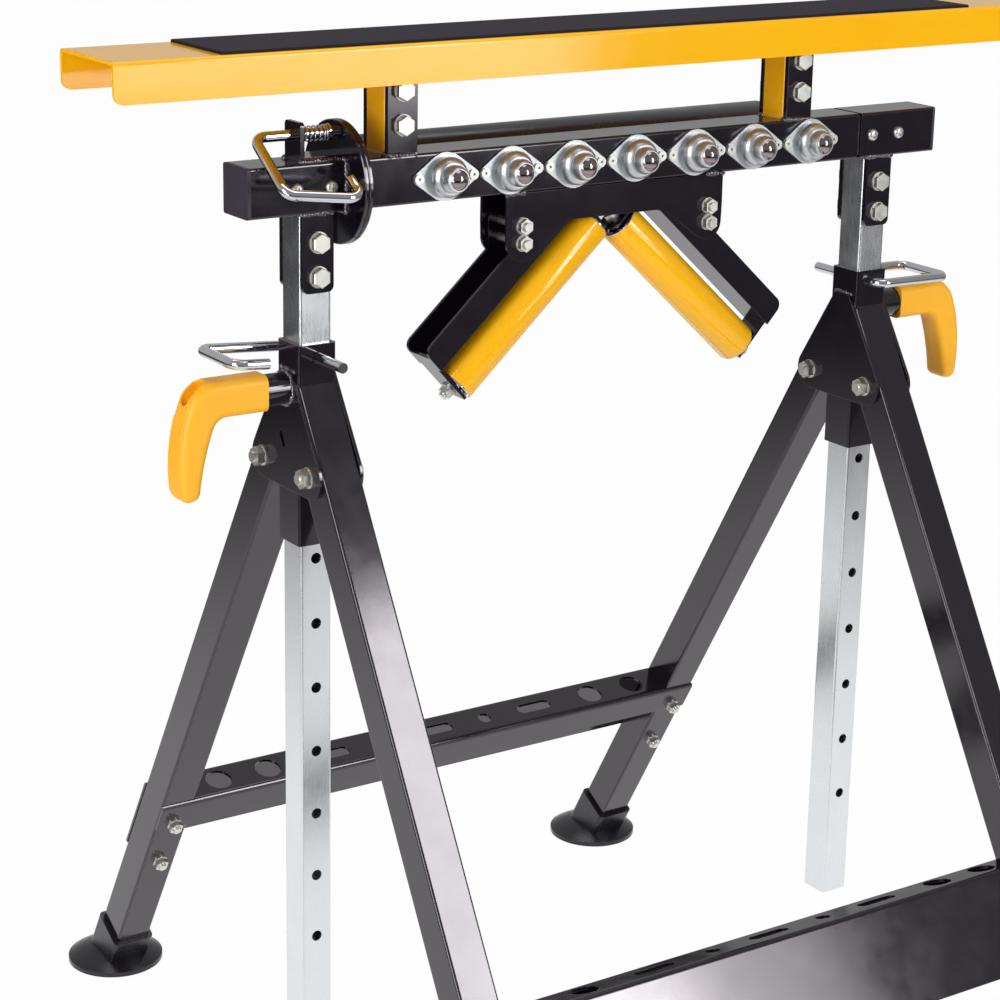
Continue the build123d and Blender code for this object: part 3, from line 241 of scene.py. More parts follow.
def moulded(name, dark, light, gloss, dull, grain_mm, grain_height_mm, ior=1.5):
    """A moulded plastic or rubber: one colour with slow patches, and a grain from the mould."""
    material, tree, shader, place = new_finish(name)
    shader.inputs["IOR"].default_value = ior
    patch = put(tree, "ShaderNodeTexNoise", {"Scale": per_metre(PATCH_MM), "Detail": 4.0}, {"Vector": place})
    tone = put(tree, "ShaderNodeMix", {6: linear(dark), 7: linear(light)},
               {0: patch.outputs["Fac"]}, data_type="RGBA")
    grain = put(tree, "ShaderNodeTexNoise", {"Scale": per_metre(grain_mm), "Detail": 2.0}, {"Vector": place})
    rough = put(tree, "ShaderNodeMapRange", {**NOISE_MOSTLY, "To Min": gloss, "To Max": dull},
                {"Value": grain.outputs["Fac"]})
    bump = put(tree, "ShaderNodeBump", {"Strength": 1.0, "Distance": grain_height_mm * MM},
               {"Height": grain.outputs["Fac"]})
    end_finish(tree, shader, tone, rough, bump)
    return material


# A mould's grain is about a quarter of a millimetre. It is drawn near a millimetre here, so that it shows.
# Warm yellow with a soft, broken highlight.
yellow_nylon = moulded("moulded_yellow_nylon", "#F0A812", "#F8B51C", 0.36, 0.5, 0.9, 0.02)
# Black with a waxy, blurred shine.
black_polyethylene = moulded("moulded_black_polyethylene", "#131017", "#1C1822", 0.22, 0.36, 1.2, 0.01)
# A shade lighter than the painted tube round it, and without its mirror.
plug_plastic = moulded("satin_plug_plastic", "#29242F", "#342E3C", 0.42, 0.52, 1.2, 0.003)
# Dull black with a rough skin, and a low IOR that keeps it from glinting.
rubber_sheet = moulded("dark_rubber_sheet", "#150F1A", "#1D1623", 0.62, 0.8, 1.0, 0.05, 1.3)
print("plastics:", [finish.name for finish in (yellow_nylon, black_polyethylene, plug_plastic, rubber_sheet)])

# %% [markdown]
# ## Finishes on the frame's nodes
# The record names a slot for each node, so one loop dresses them all. A few nodes share a slot with others
# but have a finish of their own. The frame's meshes come with normals that keep bent sheet and round rods
# smooth, so they only need a finish and are not touched otherwise.

# %% Dress the nodes
slot_finish = {
    "black_gloss_paint": black_enamel,
    "yellow_paint": yellow_enamel,
    "zinc_plate": zinc_tube,
    "zinc_bolts": zinc_small,
    "chrome_rod": polished,
    "black_plastic": black_polyethylene,
    "yellow_plastic": yellow_nylon,
    "grey_rubber": rubber_sheet,
    "grey_roller": dark_roller_enamel,
}
slot_of = {part["node"]: part["material_slot"] for part in frame["record"]["subparts"]}
balls = [name for name in nodes if name in frame["bodies"] and name.startswith("ball_")]
own_finish = {"ball_cups": zinc_cup, "stub_end_plugs": plug_plastic, **dict.fromkeys(balls, ball_steel_with_painted_reflection)}
for name, node in nodes.items():
    node.data.materials.clear()
    node.data.materials.append(own_finish.get(name, slot_finish[slot_of[name]]))
print("dressed", len(nodes), "nodes,", len(own_finish), "of them in a finish of their own")

# %% [markdown]
# ## Helpers for added pieces
# Some pieces are finer than the frame. Turned ones are a profile spun round an axis. What repeats or follows
# a path is grown by Geometry Nodes from a few points or lines and then kept as a plain mesh, because a
# finished piece holds its place in its own vertices.

# %% Pieces and turned shapes
SMOOTH_ANGLE = math.radians(32)
scene = bpy.context.scene


def new_piece(name, mesh, finish, body=None):
    """Put a finished mesh in the scene, with its finish and slot, on a body if one is named."""
    piece = bpy.data.objects.new(name, mesh)
    scene.collection.objects.link(piece)
    mesh.materials.clear()
    mesh.materials.append(finish)
    if body:
        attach(piece, body)
    print("piece", name, len(mesh.polygons), "faces")
    return piece


def turned(name, profile, middle, axis, steps=72):
    """A closed mesh spun from (radius, along) points about an axis. A radius of 0 is a pole."""
    turn = Vector(axis).to_track_quat("Z", "Y").to_matrix()
    made = bmesh.new()
    rings = []
    for radius, along in profile:
        angles = [2 * math.pi * step / steps for step in range(steps if radius else 1)]
        local = [Vector((radius * math.cos(angle), radius * math.sin(angle), along)) for angle in angles]
        rings.append([made.verts.new(turn @ point + Vector(middle)) for point in local])
    for ring, after in zip(rings, rings[1:] + rings[:1]):
        for step in range(steps):
            corners = [ring[step % len(ring)], ring[(step + 1) % len(ring)],
                       after[(step + 1) % len(after)], after[step % len(after)]]
            corners = list(dict.fromkeys(corners))
            if len(corners) > 2:
                made.faces.new(corners)
    bmesh.ops.recalc_face_normals(made, faces=made.faces)
    mesh = bpy.data.meshes.new(name)
    made.to_mesh(mesh)
    made.free()
    mesh.shade_smooth()
    mesh.set_sharp_from_angle(angle=SMOOTH_ANGLE)
    return mesh


# %% Node trees and what grows from them
def line_mesh(name, runs):
    """A mesh of bare edges: each run is a list of points joined in order."""
    points = [tuple(point) for run in runs for point in run]
    edges = []
    first = 0
    for run in runs:
        edges += [(first + step, first + step + 1) for step in range(len(run) - 1)]
        first += len(run)
    mesh = bpy.data.meshes.new(name)
    mesh.from_pydata(points, edges, [])
    return mesh


def new_tree(name, **sizes):
    """A Geometry Nodes tree with a geometry input, named size inputs and a geometry output."""
    tree = bpy.data.node_groups.new(name, "GeometryNodeTree")
    tree.interface.new_socket("Geometry", in_out="INPUT", socket_type="NodeSocketGeometry")
    for label, kind in sizes.items():
        tree.interface.new_socket(label, in_out="INPUT", socket_type=kind)
    tree.interface.new_socket("Geometry", in_out="OUTPUT", socket_type="NodeSocketGeometry")
    return tree, put(tree, "NodeGroupInput").outputs


def close_tree(tree, shape, finish):
    """End a tree: real geometry, smooth shading, one finish."""
    real = put(tree, "GeometryNodeRealizeInstances", links={0: shape})
    smooth = put(tree, "GeometryNodeSetShadeSmooth", links={0: real.outputs[0]})
    dressed = put(tree, "GeometryNodeSetMaterial", {"Material": finish}, {"Geometry": smooth.outputs[0]})
    put(tree, "NodeGroupOutput", links={0: dressed.outputs[0]})
    print("tree", tree.name, "with", len(tree.nodes), "nodes")


def plain(holder):
    """What an object's modifiers make of it, as a plain mesh."""
    return bpy.data.meshes.new_from_object(holder.evaluated_get(bpy.context.evaluated_depsgraph_get()))


def grown(name, seed_mesh, tree, **sizes):
    """What a tree makes of a mesh, as a plain mesh."""
    holder = bpy.data.objects.new(name, seed_mesh)
    scene.collection.objects.link(holder)
    modifier = holder.modifiers.new(name, "NODES")
    modifier.node_group = tree
    for item in tree.interface.items_tree:
        if item.name in sizes:
            modifier[item.identifier] = sizes[item.name]
    mesh = plain(holder)
    holder.modifiers.remove(modifier)
    bpy.data.objects.remove(holder)
    mesh.name = name
    return mesh


# %% Solids of a node
SAME_POINT = 0.001 * MM


def solids_of(name):
    """The points of each separate solid in a node, one array each."""
    made = bmesh.new()
    made.from_mesh(nodes[name].data)
    bmesh.ops.remove_doubles(made, verts=made.verts, dist=SAME_POINT)
    waiting = set(made.verts)
    solids = []
    while waiting:
        reached = [waiting.pop()]
        for vert in reached:
            fresh = {edge.other_vert(vert) for edge in vert.link_edges} & waiting
            waiting -= fresh
            reached += fresh
        solids.append(numpy.array(sorted(tuple(vert.co) for vert in reached)))
    made.free()
    return sorted(solids, key=lambda points: tuple(points.min(0).round(4)))


def box_of(points):
    """Lowest and highest corner of a solid's points."""
    return Vector(points.min(0)), Vector(points.max(0))


# %% [markdown]
# ## Rollers
# Each roller is a painted tube with a pressed cap in each end. The cap has a bright rolled rim that covers
# the end of the tube, a dished face and a hub round the axle. The frame's rollers have plain ends, so they
# are turned again from a profile. The frame's roller gives the size and its joint gives the axis, so the
# turned pieces fit with no places of their own.

# %% Turn the rollers
V_WALL = 2.0 * MM
V_AXLE = 4.0 * MM
BACK_WALL = 2.5 * MM
BACK_AXLE = 5.0 * MM
TUBE_EDGE = 0.7 * MM
EDGE_CUT = 0.3 * TUBE_EDGE
AXLE_ROOM = 0.05 * MM
TUBE_ROOM = 0.1 * MM
CAP_SEAT = 0.02 * MM
CAP_DEPTH = 10 * MM
# The cap's profile in mm: (out from the bore, past the tube's end), then (in from the outside, past the end).
CAP_HUB = ((0, 0.4), (2.2, 0.4), (3.0, 0), (4.2, -3.6))
CAP_RIM = ((5.4, -3.6), (4.2, 0.5), (3.4, 1.1), (0.9, 1.1), (0.3, 0.7))
RIM_INSET = 0.3 * MM


def roller(name, finish, wall, axle):
    """Replace a roller by a turned tube and two dished caps, for its wall and its axle's radius."""
    middle = joint_place[f"{name}_turn"]
    axis = joint_axis[f"{name}_turn"].normalized()
    points = numpy.array([vert.co for vert in nodes[name].data.vertices]) - numpy.array(middle)
    along = points @ numpy.array(axis)
    half = float(along.max())
    outside = float(numpy.linalg.norm(points - numpy.outer(along, axis), axis=1).max())
    far_end = [(outside, half - TUBE_EDGE), (outside - EDGE_CUT, half - EDGE_CUT),
               (outside - TUBE_EDGE, half), (outside - wall, half)]
    near_end = [(radius, -reach) for radius, reach in reversed(far_end)]
    shell = new_piece(f"{name}_tube", turned(name, near_end + far_end, middle, axis), finish, name)
    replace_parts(shell, name)
    bore = axle + AXLE_ROOM
    inside = outside - wall - TUBE_ROOM
    hub = [(bore + step * MM, past * MM) for step, past in CAP_HUB]
    rim = [(outside - step * MM, past * MM) for step, past in CAP_RIM]
    sleeve = [(outside - RIM_INSET, CAP_SEAT), (inside, CAP_SEAT), (inside, -CAP_DEPTH)]
    cap = [(bore, -CAP_DEPTH)] + hub + rim + sleeve
    for end, way in (("near", -axis), ("far", axis)):
        mesh = turned(f"{name}_{end}_cap", cap, middle + way * half, way)
        new_piece(f"{name}_{end}_cap", mesh, polished, name)


roller("left_v_roller", yellow_enamel, V_WALL, V_AXLE)
roller("right_v_roller", yellow_enamel, V_WALL, V_AXLE)
roller("back_roller", dark_roller_enamel, BACK_WALL, BACK_AXLE)

# %% [markdown]
# ## Index spring
# A compression spring presses the index pin into its disc. Its wire is wound close for one turn at each end,
# so that it sits flat, and open between. It follows a helix, so its points come from a formula, and rings of
# points are skinned along it into a mesh. It shortens when the pin is drawn.

# %% The helix
SPRING_WIRE = 1.6 * MM
SPRING_OPEN_TURNS = 5
CLOSED_GAP = 0.12 * MM
spring_low, spring_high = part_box("index_spring")
spring_middle = (spring_low + spring_high) / 2
coil_radius = (spring_high.z - spring_low.z - SPRING_WIRE) / 2
coil_length = spring_high.x - spring_low.x - SPRING_WIRE
closed_rise = SPRING_WIRE + CLOSED_GAP
open_rise = (coil_length - 2 * closed_rise) / SPRING_OPEN_TURNS
spring_turns = SPRING_OPEN_TURNS + 2


def wire_point(turn):
    """The middle of the wire after so many turns from its left end."""
    opened = min(max(turn - 1, 0), SPRING_OPEN_TURNS)
    closed = turn - opened
    x = spring_low.x + SPRING_WIRE / 2 + opened * open_rise + closed * closed_rise
    angle = 2 * math.pi * turn
    around = Vector((x, coil_radius * math.sin(angle), coil_radius * math.cos(angle)))
    return around + Vector((0, *spring_middle.yz))


print("spring:", spring_turns, "turns, open ones rise", round(open_rise / MM, 2), "mm each")

# %% Wind the spring
STEPS_PER_TURN = 28
WIRE_SIDES = 10
TANGENT_TURN = 0.01
side_angles = [2 * math.pi * side / WIRE_SIDES for side in range(WIRE_SIDES)]
made = bmesh.new()
rings = []
for step in range(spring_turns * STEPS_PER_TURN + 1):
    turn = step / STEPS_PER_TURN
    here = wire_point(turn)
    outward = Vector((0, *(here - spring_middle).yz)).normalized()
    onward = wire_point(turn + TANGENT_TURN) - wire_point(turn - TANGENT_TURN)
    sideways = onward.normalized().cross(outward)
    section = [(outward * math.cos(a) + sideways * math.sin(a)) * SPRING_WIRE / 2 for a in side_angles]
    rings.append([made.verts.new(here + out) for out in section])
for ring, after in zip(rings, rings[1:]):
    for side in range(WIRE_SIDES):
        follow = (side + 1) % WIRE_SIDES
        made.faces.new((ring[side], ring[follow], after[follow], after[side]))
made.faces.new(rings[0])
made.faces.new(rings[-1])
bmesh.ops.recalc_face_normals(made, faces=made.faces)
spring_mesh = bpy.data.meshes.new("wound_index_spring")
made.to_mesh(spring_mesh)
made.free()
spring_mesh.shade_smooth()
spring = new_piece("wound_index_spring", spring_mesh, polished)
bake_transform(spring)
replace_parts(spring, "index_spring")

# %% [markdown]
# ## Weld beads
# The plates and brackets are welded on before painting, and the beads show as lumpy black lines along their
# edges. A bump texture would leave the corner sharp in outline, so they are modelled. Each line is drawn on
# the edge of the frame's own solid. A tree then sets overlapping drops along it, each a little larger or
# smaller than the next, which is what a row of weld ripples looks like under paint.

# %% Bead tree
LARGEST_DROP = 1.1
bead_tree, bead_in = new_tree("weld_bead", Width="NodeSocketFloat", Pitch="NodeSocketFloat",
                              Smallest="NodeSocketFloat", Seed="NodeSocketInt")
bead_path = put(bead_tree, "GeometryNodeMeshToCurve", links={0: bead_in["Geometry"]})
bead_steps = put(bead_tree, "GeometryNodeResampleCurve",
                 links={"Curve": bead_path.outputs[0], "Length": bead_in["Pitch"]}, mode="LENGTH")
drop = put(bead_tree, "GeometryNodeMeshUVSphere", {"Segments": 8, "Rings": 6, "Radius": 0.5})
spread = put(bead_tree, "FunctionNodeRandomValue", {"Max": (LARGEST_DROP,) * 3},
             {"Min": bead_in["Smallest"], "Seed": bead_in["Seed"]}, data_type="FLOAT_VECTOR")
bead_size = put(bead_tree, "ShaderNodeVectorMath", links={0: spread.outputs[0], "Scale": bead_in["Width"]},
                operation="SCALE")
beads = put(bead_tree, "GeometryNodeInstanceOnPoints", links={
    "Points": bead_steps.outputs[0], "Instance": drop.outputs[0], "Scale": bead_size.outputs[0]})
close_tree(bead_tree, beads.outputs[0], bead_enamel)

# %% Weld lines on the edges of the plates
BOSS_SEGMENTS = 32
GUSSET_TOP_HALF = 11 * MM
TACK = 18 * MM
weld_lines = {"head": [], "turret": [], "frame": []}


def plate_end(body, node, top):
    """A line round three sides of the end of each upright plate in a node, on its outer side."""
    for points in solids_of(node):
        low, high = box_of(points)
        outer, inner = (low.y, high.y) if low.y < 0 else (high.y, low.y)
        z = high.z if top else low.z
        corners = ((low.x, inner), (low.x, outer), (high.x, outer), (high.x, inner))
        weld_lines[body].append([(x, y, z) for x, y in corners])


def square_round(body, tube, x):
    """A line round a square tube where it meets a disc."""
    low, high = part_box(tube)
    corners = ((low.y, low.z), (high.y, low.z), (high.y, high.z), (low.y, high.z), (low.y, low.z))
    weld_lines[body].append([(x, y, z) for y, z in corners])


plate_end("turret", "rail_ears", top=False)
plate_end("head", "post_straps", top=True)
square_round("head", "left_stub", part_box("fixed_index_disc")[0].x)
square_round("turret", "turret_tube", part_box("turret_tube")[0].x)
bracket_low, bracket_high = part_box("index_bracket")
for y in (bracket_low.y, bracket_high.y):
    weld_lines["head"].append([(bracket_low.x, y, bracket_low.z), (bracket_high.x, y, bracket_low.z)])
for points in solids_of("clamp_bosses"):
    low, high = box_of(points)
    middle = (low + high) / 2
    root = high.x if middle.x < 0 else low.x
    reach = (high.z - low.z) / 2
    angles = [2 * math.pi * step / BOSS_SEGMENTS for step in range(BOSS_SEGMENTS + 1)]
    boss_round = [(middle.y + reach * math.cos(a), middle.z + reach * math.sin(a)) for a in angles]
    weld_lines["frame"].append([(root, y, z) for y, z in boss_round])
for side in ("left", "right"):
    sleeve_low, sleeve_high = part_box(f"{side}_sleeve")
    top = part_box(f"{side}_gussets")[1].z
    for x in (sleeve_low.x, sleeve_high.x):
        weld_lines["frame"].append([(x, -GUSSET_TOP_HALF, top), (x, GUSSET_TOP_HALF, top)])
for points in solids_of("v_plates"):
    low, high = box_of(points)
    y = low.y if low.y < 0 else high.y
    for x, way in ((low.x, 1), (high.x, -1)):
        weld_lines["turret"].append([(x, y, high.z), (x + way * TACK, y, high.z)])
for points in solids_of("back_roller_brackets"):
    low, high = box_of(points)
    for x in (low.x, high.x):
        weld_lines["turret"].append([(x, low.y, low.z), (x, low.y, high.z)])
print("weld lines:", {body: len(runs) for body, runs in weld_lines.items()})

# %% Lay the beads
BEAD = {"Width": 6.6 * MM, "Pitch": 3.2 * MM, "Smallest": 0.5}
FIRST_SEED = 11
for seed, (body, runs) in enumerate(weld_lines.items(), start=FIRST_SEED):
    mesh = grown(f"{body}_weld_beads", line_mesh(f"{body}_weld_lines", runs), bead_tree, Seed=seed, **BEAD)
    new_piece(f"{body}_weld_beads", mesh, bead_enamel, body)

# %% [markdown]
# ## Threads
# A few millimetres of thread stand out of every nut. The frame's bolts are plain there. A true helix would
# need many faces on each tip, and over two turns a plain ring for each turn looks the same. The tips are
# found on the frame's own solids: a bolt's slim end, and both ends of an axle.

# %% Thread tree
thread_tree, thread_in = new_tree("thread_turn", Crest="NodeSocketFloat")
circle = put(thread_tree, "GeometryNodeCurvePrimitiveCircle", {"Resolution": 18, "Radius": 1.0})
crest = put(thread_tree, "GeometryNodeCurvePrimitiveCircle", {"Resolution": 3},
            {"Radius": thread_in["Crest"]})
turn_ring = put(thread_tree, "GeometryNodeCurveToMesh", links={0: circle.outputs[0], 1: crest.outputs[0]})
facing = put(thread_tree, "GeometryNodeInputNamedAttribute", {"Name": "axis"}, data_type="FLOAT_VECTOR")
shank = put(thread_tree, "GeometryNodeInputNamedAttribute", {"Name": "radius"}, data_type="FLOAT")
aligned = put(thread_tree, "FunctionNodeAlignRotationToVector", links={"Vector": facing.outputs[0]}, axis="Z")
thread_turns = put(thread_tree, "GeometryNodeInstanceOnPoints", links={
    "Points": thread_in["Geometry"], "Instance": turn_ring.outputs[0],
    "Rotation": aligned.outputs[0], "Scale": shank.outputs[0]})
close_tree(thread_tree, thread_turns.outputs[0], zinc_small)

# %% Find the tips and cut the threads
FACE_DEPTH = 0.01 * MM
BOLT_IN_WIDTHS = 1.5  # a bolt is longer than this, a nut in the same node is not
SLIM_ENOUGH = 1.05
THREADED = {
    "frame": ["pivot_bolts"],
    "front_legs": ["front_tray_bolts"],
    "rear_legs": ["rear_tray_bolts"],
    "head": ["strap_bolts"],
    "turret": ["ear_bolts", "v_bolts", "roller_axles"],
}
THREAD_PITCH = 1.25 * MM
THREAD_START = 0.4 * MM
THREAD_TURNS = 2
THREAD_CREST = 0.09  # of the shank's radius


def slim_ends(points):
    """(tip, outward direction, radius) of each slim end of a bolt or axle."""
    middle = points.mean(0)
    axis = numpy.linalg.svd(points - middle)[2][0]
    along = (points - middle) @ axis
    ends = []
    for sign in (-1, 1):
        reach = (sign * along).max()
        face = points[sign * along > reach - FACE_DEPTH]
        tip = face.mean(0)
        ends.append((tip, sign * axis, float(numpy.linalg.norm(face - tip, axis=1).max())))
    slim = min(radius for tip, way, radius in ends)
    width = 2 * numpy.linalg.norm(points - middle - numpy.outer(along, axis), axis=1).max()
    long_enough = along.max() - along.min() > BOLT_IN_WIDTHS * width
    return [end for end in ends if long_enough and end[2] < SLIM_ENOUGH * slim]


thread_steps = [THREAD_START + THREAD_PITCH * step for step in range(THREAD_TURNS)]
for body, bolt_nodes in THREADED.items():
    ends = [end for node in bolt_nodes for points in solids_of(node) for end in slim_ends(points)]
    places = [(tip - way * step, way, radius) for tip, way, radius in ends for step in thread_steps]
    seeds = bpy.data.meshes.new(f"{body}_thread_places")
    seeds.from_pydata([tuple(place) for place, way, radius in places], [], [])
    ways = seeds.attributes.new("axis", "FLOAT_VECTOR", "POINT")
    ways.data.foreach_set("vector", [part for place, way, radius in places for part in way])
    radii = seeds.attributes.new("radius", "FLOAT", "POINT")
    radii.data.foreach_set("value", [radius for place, way, radius in places])
    mesh = grown(f"{body}_bolt_threads", seeds, thread_tree, Crest=THREAD_CREST)
    new_piece(f"{body}_bolt_threads", mesh, zinc_small, body)
    print(body, "has", len(ends), "threaded ends")

# %% [markdown]
# ## Stub screws
# Four pan-head screws with a cross recess hold the bearing blocks. One head is turned, the cross is cut out
# of it with two blades, and a tree puts it on the four places. Cutting one and copying it keeps the four
# alike and costs one cut instead of four.

# %% Turn the screw
SCREW_SHANK = 3.0 * MM
PAN_HEAD = ((0, 1), (0.45, 0.97), (0.75, 0.8), (0.93, 0.48), (1, 0.15), (1, 0))  # shares of radius and rise
screw_boxes = [box_of(points) for points in solids_of("stub_screws")]
head_radius = (screw_boxes[0][1].x - screw_boxes[0][0].x) / 2
stub_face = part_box("left_stub")[0].y
head_rise = stub_face - screw_boxes[0][0].y
shank_end = stub_face - screw_boxes[0][1].y
pan = [(out * head_radius, up * head_rise) for out, up in PAN_HEAD]
screw_profile = pan + [(SCREW_SHANK, 0), (SCREW_SHANK, shank_end), (0, shank_end)]
screw_head = bpy.data.objects.new("screw", turned("screw", screw_profile, (0, 0, 0), (0, -1, 0), steps=32))
scene.collection.objects.link(screw_head)
print("screw head", round(2 * head_radius / MM, 1), "mm wide,", round(head_rise / MM, 1), "mm high")

# %% Cut the cross
RECESS_LONG = 6.6 * MM
RECESS_WIDE = 1.7 * MM
RECESS_DEEP = 2.2 * MM
blades = []
for name, width, tall in (("bar", RECESS_LONG, RECESS_WIDE), ("post", RECESS_WIDE, RECESS_LONG)):
    blade_mesh = bpy.data.meshes.new(name)
    made = bmesh.new()
    bmesh.ops.create_cube(made, size=1.0)
    bmesh.ops.scale(made, vec=(width, 2 * RECESS_DEEP, tall), verts=made.verts)
    bmesh.ops.translate(made, vec=(0, -head_rise, 0), verts=made.verts)
    made.to_mesh(blade_mesh)
    made.free()
    blades.append(bpy.data.objects.new(name, blade_mesh))
    scene.collection.objects.link(blades[-1])
    cut = screw_head.modifiers.new(name, "BOOLEAN")
    cut.object = blades[-1]
    cut.solver = "EXACT"
screw_mesh = plain(screw_head)
screw_mesh.set_sharp_from_angle(angle=SMOOTH_ANGLE)
for blade in blades:
    bpy.data.objects.remove(blade)
screw_head.modifiers.clear()
screw_head.data = screw_mesh
print("cross cut:", len(screw_mesh.polygons), "faces on one screw")

# %% Set the screws
screw_tree, screw_in = new_tree("screw_on_places")
screw_shape = put(screw_tree, "GeometryNodeObjectInfo", {"Object": screw_head})
screws = put(screw_tree, "GeometryNodeInstanceOnPoints", links={
    "Points": screw_in["Geometry"], "Instance": screw_shape.outputs["Geometry"]})
close_tree(screw_tree, screws.outputs[0], zinc_small)
screw_places = [((low.x + high.x) / 2, stub_face, (low.z + high.z) / 2) for low, high in screw_boxes]
places_mesh = bpy.data.meshes.new("screw_places")
places_mesh.from_pydata(screw_places, [], [])
cross_screws = grown("cross_recess_screws", places_mesh, screw_tree)
bpy.data.objects.remove(screw_head)
cross_screws.set_sharp_from_angle(angle=SMOOTH_ANGLE)
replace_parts(new_piece("cross_recess_screws", cross_screws, zinc_small, "head"), "stub_screws")

# %% [markdown]
# ## Ridges on the clamp levers
# The levers are moulded in two halves: a raised seam runs down the outside of each grip, near its two rims,
# and a lip runs round the recess at the elbow. The grip is curved both ways, so lines drawn by hand would
# leave its surface. Rays cast at the frame's lever find it instead, and a tree sweeps a small round section
# along what they hit.

# %% Ridge tree
ridge_tree, ridge_in = new_tree("moulded_ridge", Radius="NodeSocketFloat")
ridge_path = put(ridge_tree, "GeometryNodeMeshToCurve", links={0: ridge_in["Geometry"]})
ridge_round = put(ridge_tree, "GeometryNodeCurvePrimitiveCircle", {"Resolution": 10},
                  {"Radius": ridge_in["Radius"]})
ridge_tube = put(ridge_tree, "GeometryNodeCurveToMesh", {"Fill Caps": True},
                 {0: ridge_path.outputs[0], 1: ridge_round.outputs[0]})
close_tree(ridge_tree, ridge_tube.outputs[0], yellow_nylon)

# %% Seams and lips
RIDGE_RADIUS = 0.9 * MM
SEAM_OFFSET = 9.6 * MM
SEAM_BELOW_TOP = 30 * MM
SEAM_SHORTER = 36 * MM
SEAM_STEPS = 40
SEAM_RAY_ROOM = 20 * MM
ELBOW_BEND = 26 * MM
ELBOW_FROM_POST = 97.05 * MM
RECESS = (27 * MM, 14 * MM)
LIP = 1.2 * MM
LIP_STEPS = 48
LIP_RAY_ROOM = 15 * MM
for side, outward in (("left", -1), ("right", 1)):
    lever = nodes[f"{side}_clamp_lever"].data
    low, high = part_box(f"{side}_clamp_lever")
    surface = BVHTree.FromPolygons([v.co for v in lever.vertices], [p.vertices for p in lever.polygons])
    far = (low.x if outward < 0 else high.x) + outward * SEAM_RAY_ROOM
    drop_to_end = low.z + SEAM_SHORTER - high.z
    heights = [high.z - SEAM_BELOW_TOP + drop_to_end * step / SEAM_STEPS for step in range(SEAM_STEPS)]
    runs = []
    for y in (-SEAM_OFFSET, SEAM_OFFSET):
        runs.append([surface.ray_cast(Vector((far, y, z)), Vector((-outward, 0, 0)))[0] for z in heights])
    elbow_x = joint_place[f"{side}_clamp_turn"].x + outward * ELBOW_FROM_POST
    normal = Vector((outward, 0, 1)).normalized()
    along = Vector((outward, 0, -1)).normalized()
    elbow = Vector((elbow_x, 0, high.z - ELBOW_BEND)) + normal * (ELBOW_BEND + LIP_RAY_ROOM)
    straight = (RECESS[0] - RECESS[1]) / 2
    reach = RECESS[1] / 2 + LIP
    lip = []
    for step in range(LIP_STEPS + 1):
        angle = 2 * math.pi * step / LIP_STEPS
        end = straight if math.cos(angle) > 0 else -straight
        start = elbow + along * (end + reach * math.cos(angle)) + Vector((0, reach * math.sin(angle), 0))
        lip.append(surface.ray_cast(start, -normal)[0])
    hits = [[hit for hit in run if hit] for run in (*runs, lip)]
    lines = line_mesh(f"{side}_ridge_lines", hits)
    mesh = grown(f"{side}_lever_ridges", lines, ridge_tree, Radius=RIDGE_RADIUS)
    new_piece(f"{side}_lever_ridges", mesh, yellow_nylon, f"{side}_clamp_lever")

# %% [markdown]
# ## Studio
# The stand is shown on plain white. Gloss black shows mostly what it reflects, so the room is planned for
# that: a white floor that is bright near the stand and dim further off, a brighter room behind and a dimmer
# one in front. One tall soft box at the front right gives the pale sheen on the lower front legs, small ones
# beside it light the tray and the rail, a tall one and a card at the left draw thin lines along the edges of
# the tubes, and a wide weak one hangs overhead.

# %% World
ROOM_IN_FRONT = 0.32
ROOM_BEHIND = 0.5
scene.view_settings.view_transform = "Standard"
world = bpy.data.worlds.new("studio")
scene.world = world
world.use_nodes = True
sky = world.node_tree
sky.nodes.clear()
sky_path = put(sky, "ShaderNodeLightPath")
way = put(sky, "ShaderNodeSeparateXYZ", links={0: put(sky, "ShaderNodeTexCoord").outputs["Generated"]})
depth = put(sky, "ShaderNodeMapRange",
            {"From Min": -0.4, "From Max": 0.6, "To Min": ROOM_IN_FRONT, "To Max": ROOM_BEHIND},
            {"Value": way.outputs["Y"]}, interpolation_type="SMOOTHSTEP")
shown = put(sky, "ShaderNodeMix", {3: 1.0}, {0: sky_path.outputs["Is Camera Ray"], 2: depth.outputs[0]})
backdrop = put(sky, "ShaderNodeBackground", {"Color": (1, 1, 1, 1)}, {"Strength": shown.outputs[0]})
put(sky, "ShaderNodeOutputWorld", links={"Surface": backdrop.outputs[0]})
print("room: brightness", ROOM_IN_FRONT, "in front to", ROOM_BEHIND, "behind")

# %% Floor sheet
FLOOR_SIZE = 40.0
floor_mesh = bpy.data.meshes.new("floor")
half = FLOOR_SIZE / 2
floor_corners = [(-half, -half, 0), (half, -half, 0), (half, half, 0), (-half, half, 0)]
floor_mesh.from_pydata(floor_corners, [], [(0, 1, 2, 3)])
floor = bpy.data.objects.new("floor", floor_mesh)
scene.collection.objects.link(floor)
print("floor:", FLOOR_SIZE, "m square")

# %% [markdown]
# ## Paper on the floor
# The camera sees the sheet as nearly even white, with a little of its true shading left so that the stand's
# shadow stays. A mirror sees it as light: white within a metre of the stand, then fading to a dim far floor
# that is a little brighter behind and to the right, as the paint's reflections on the legs show.

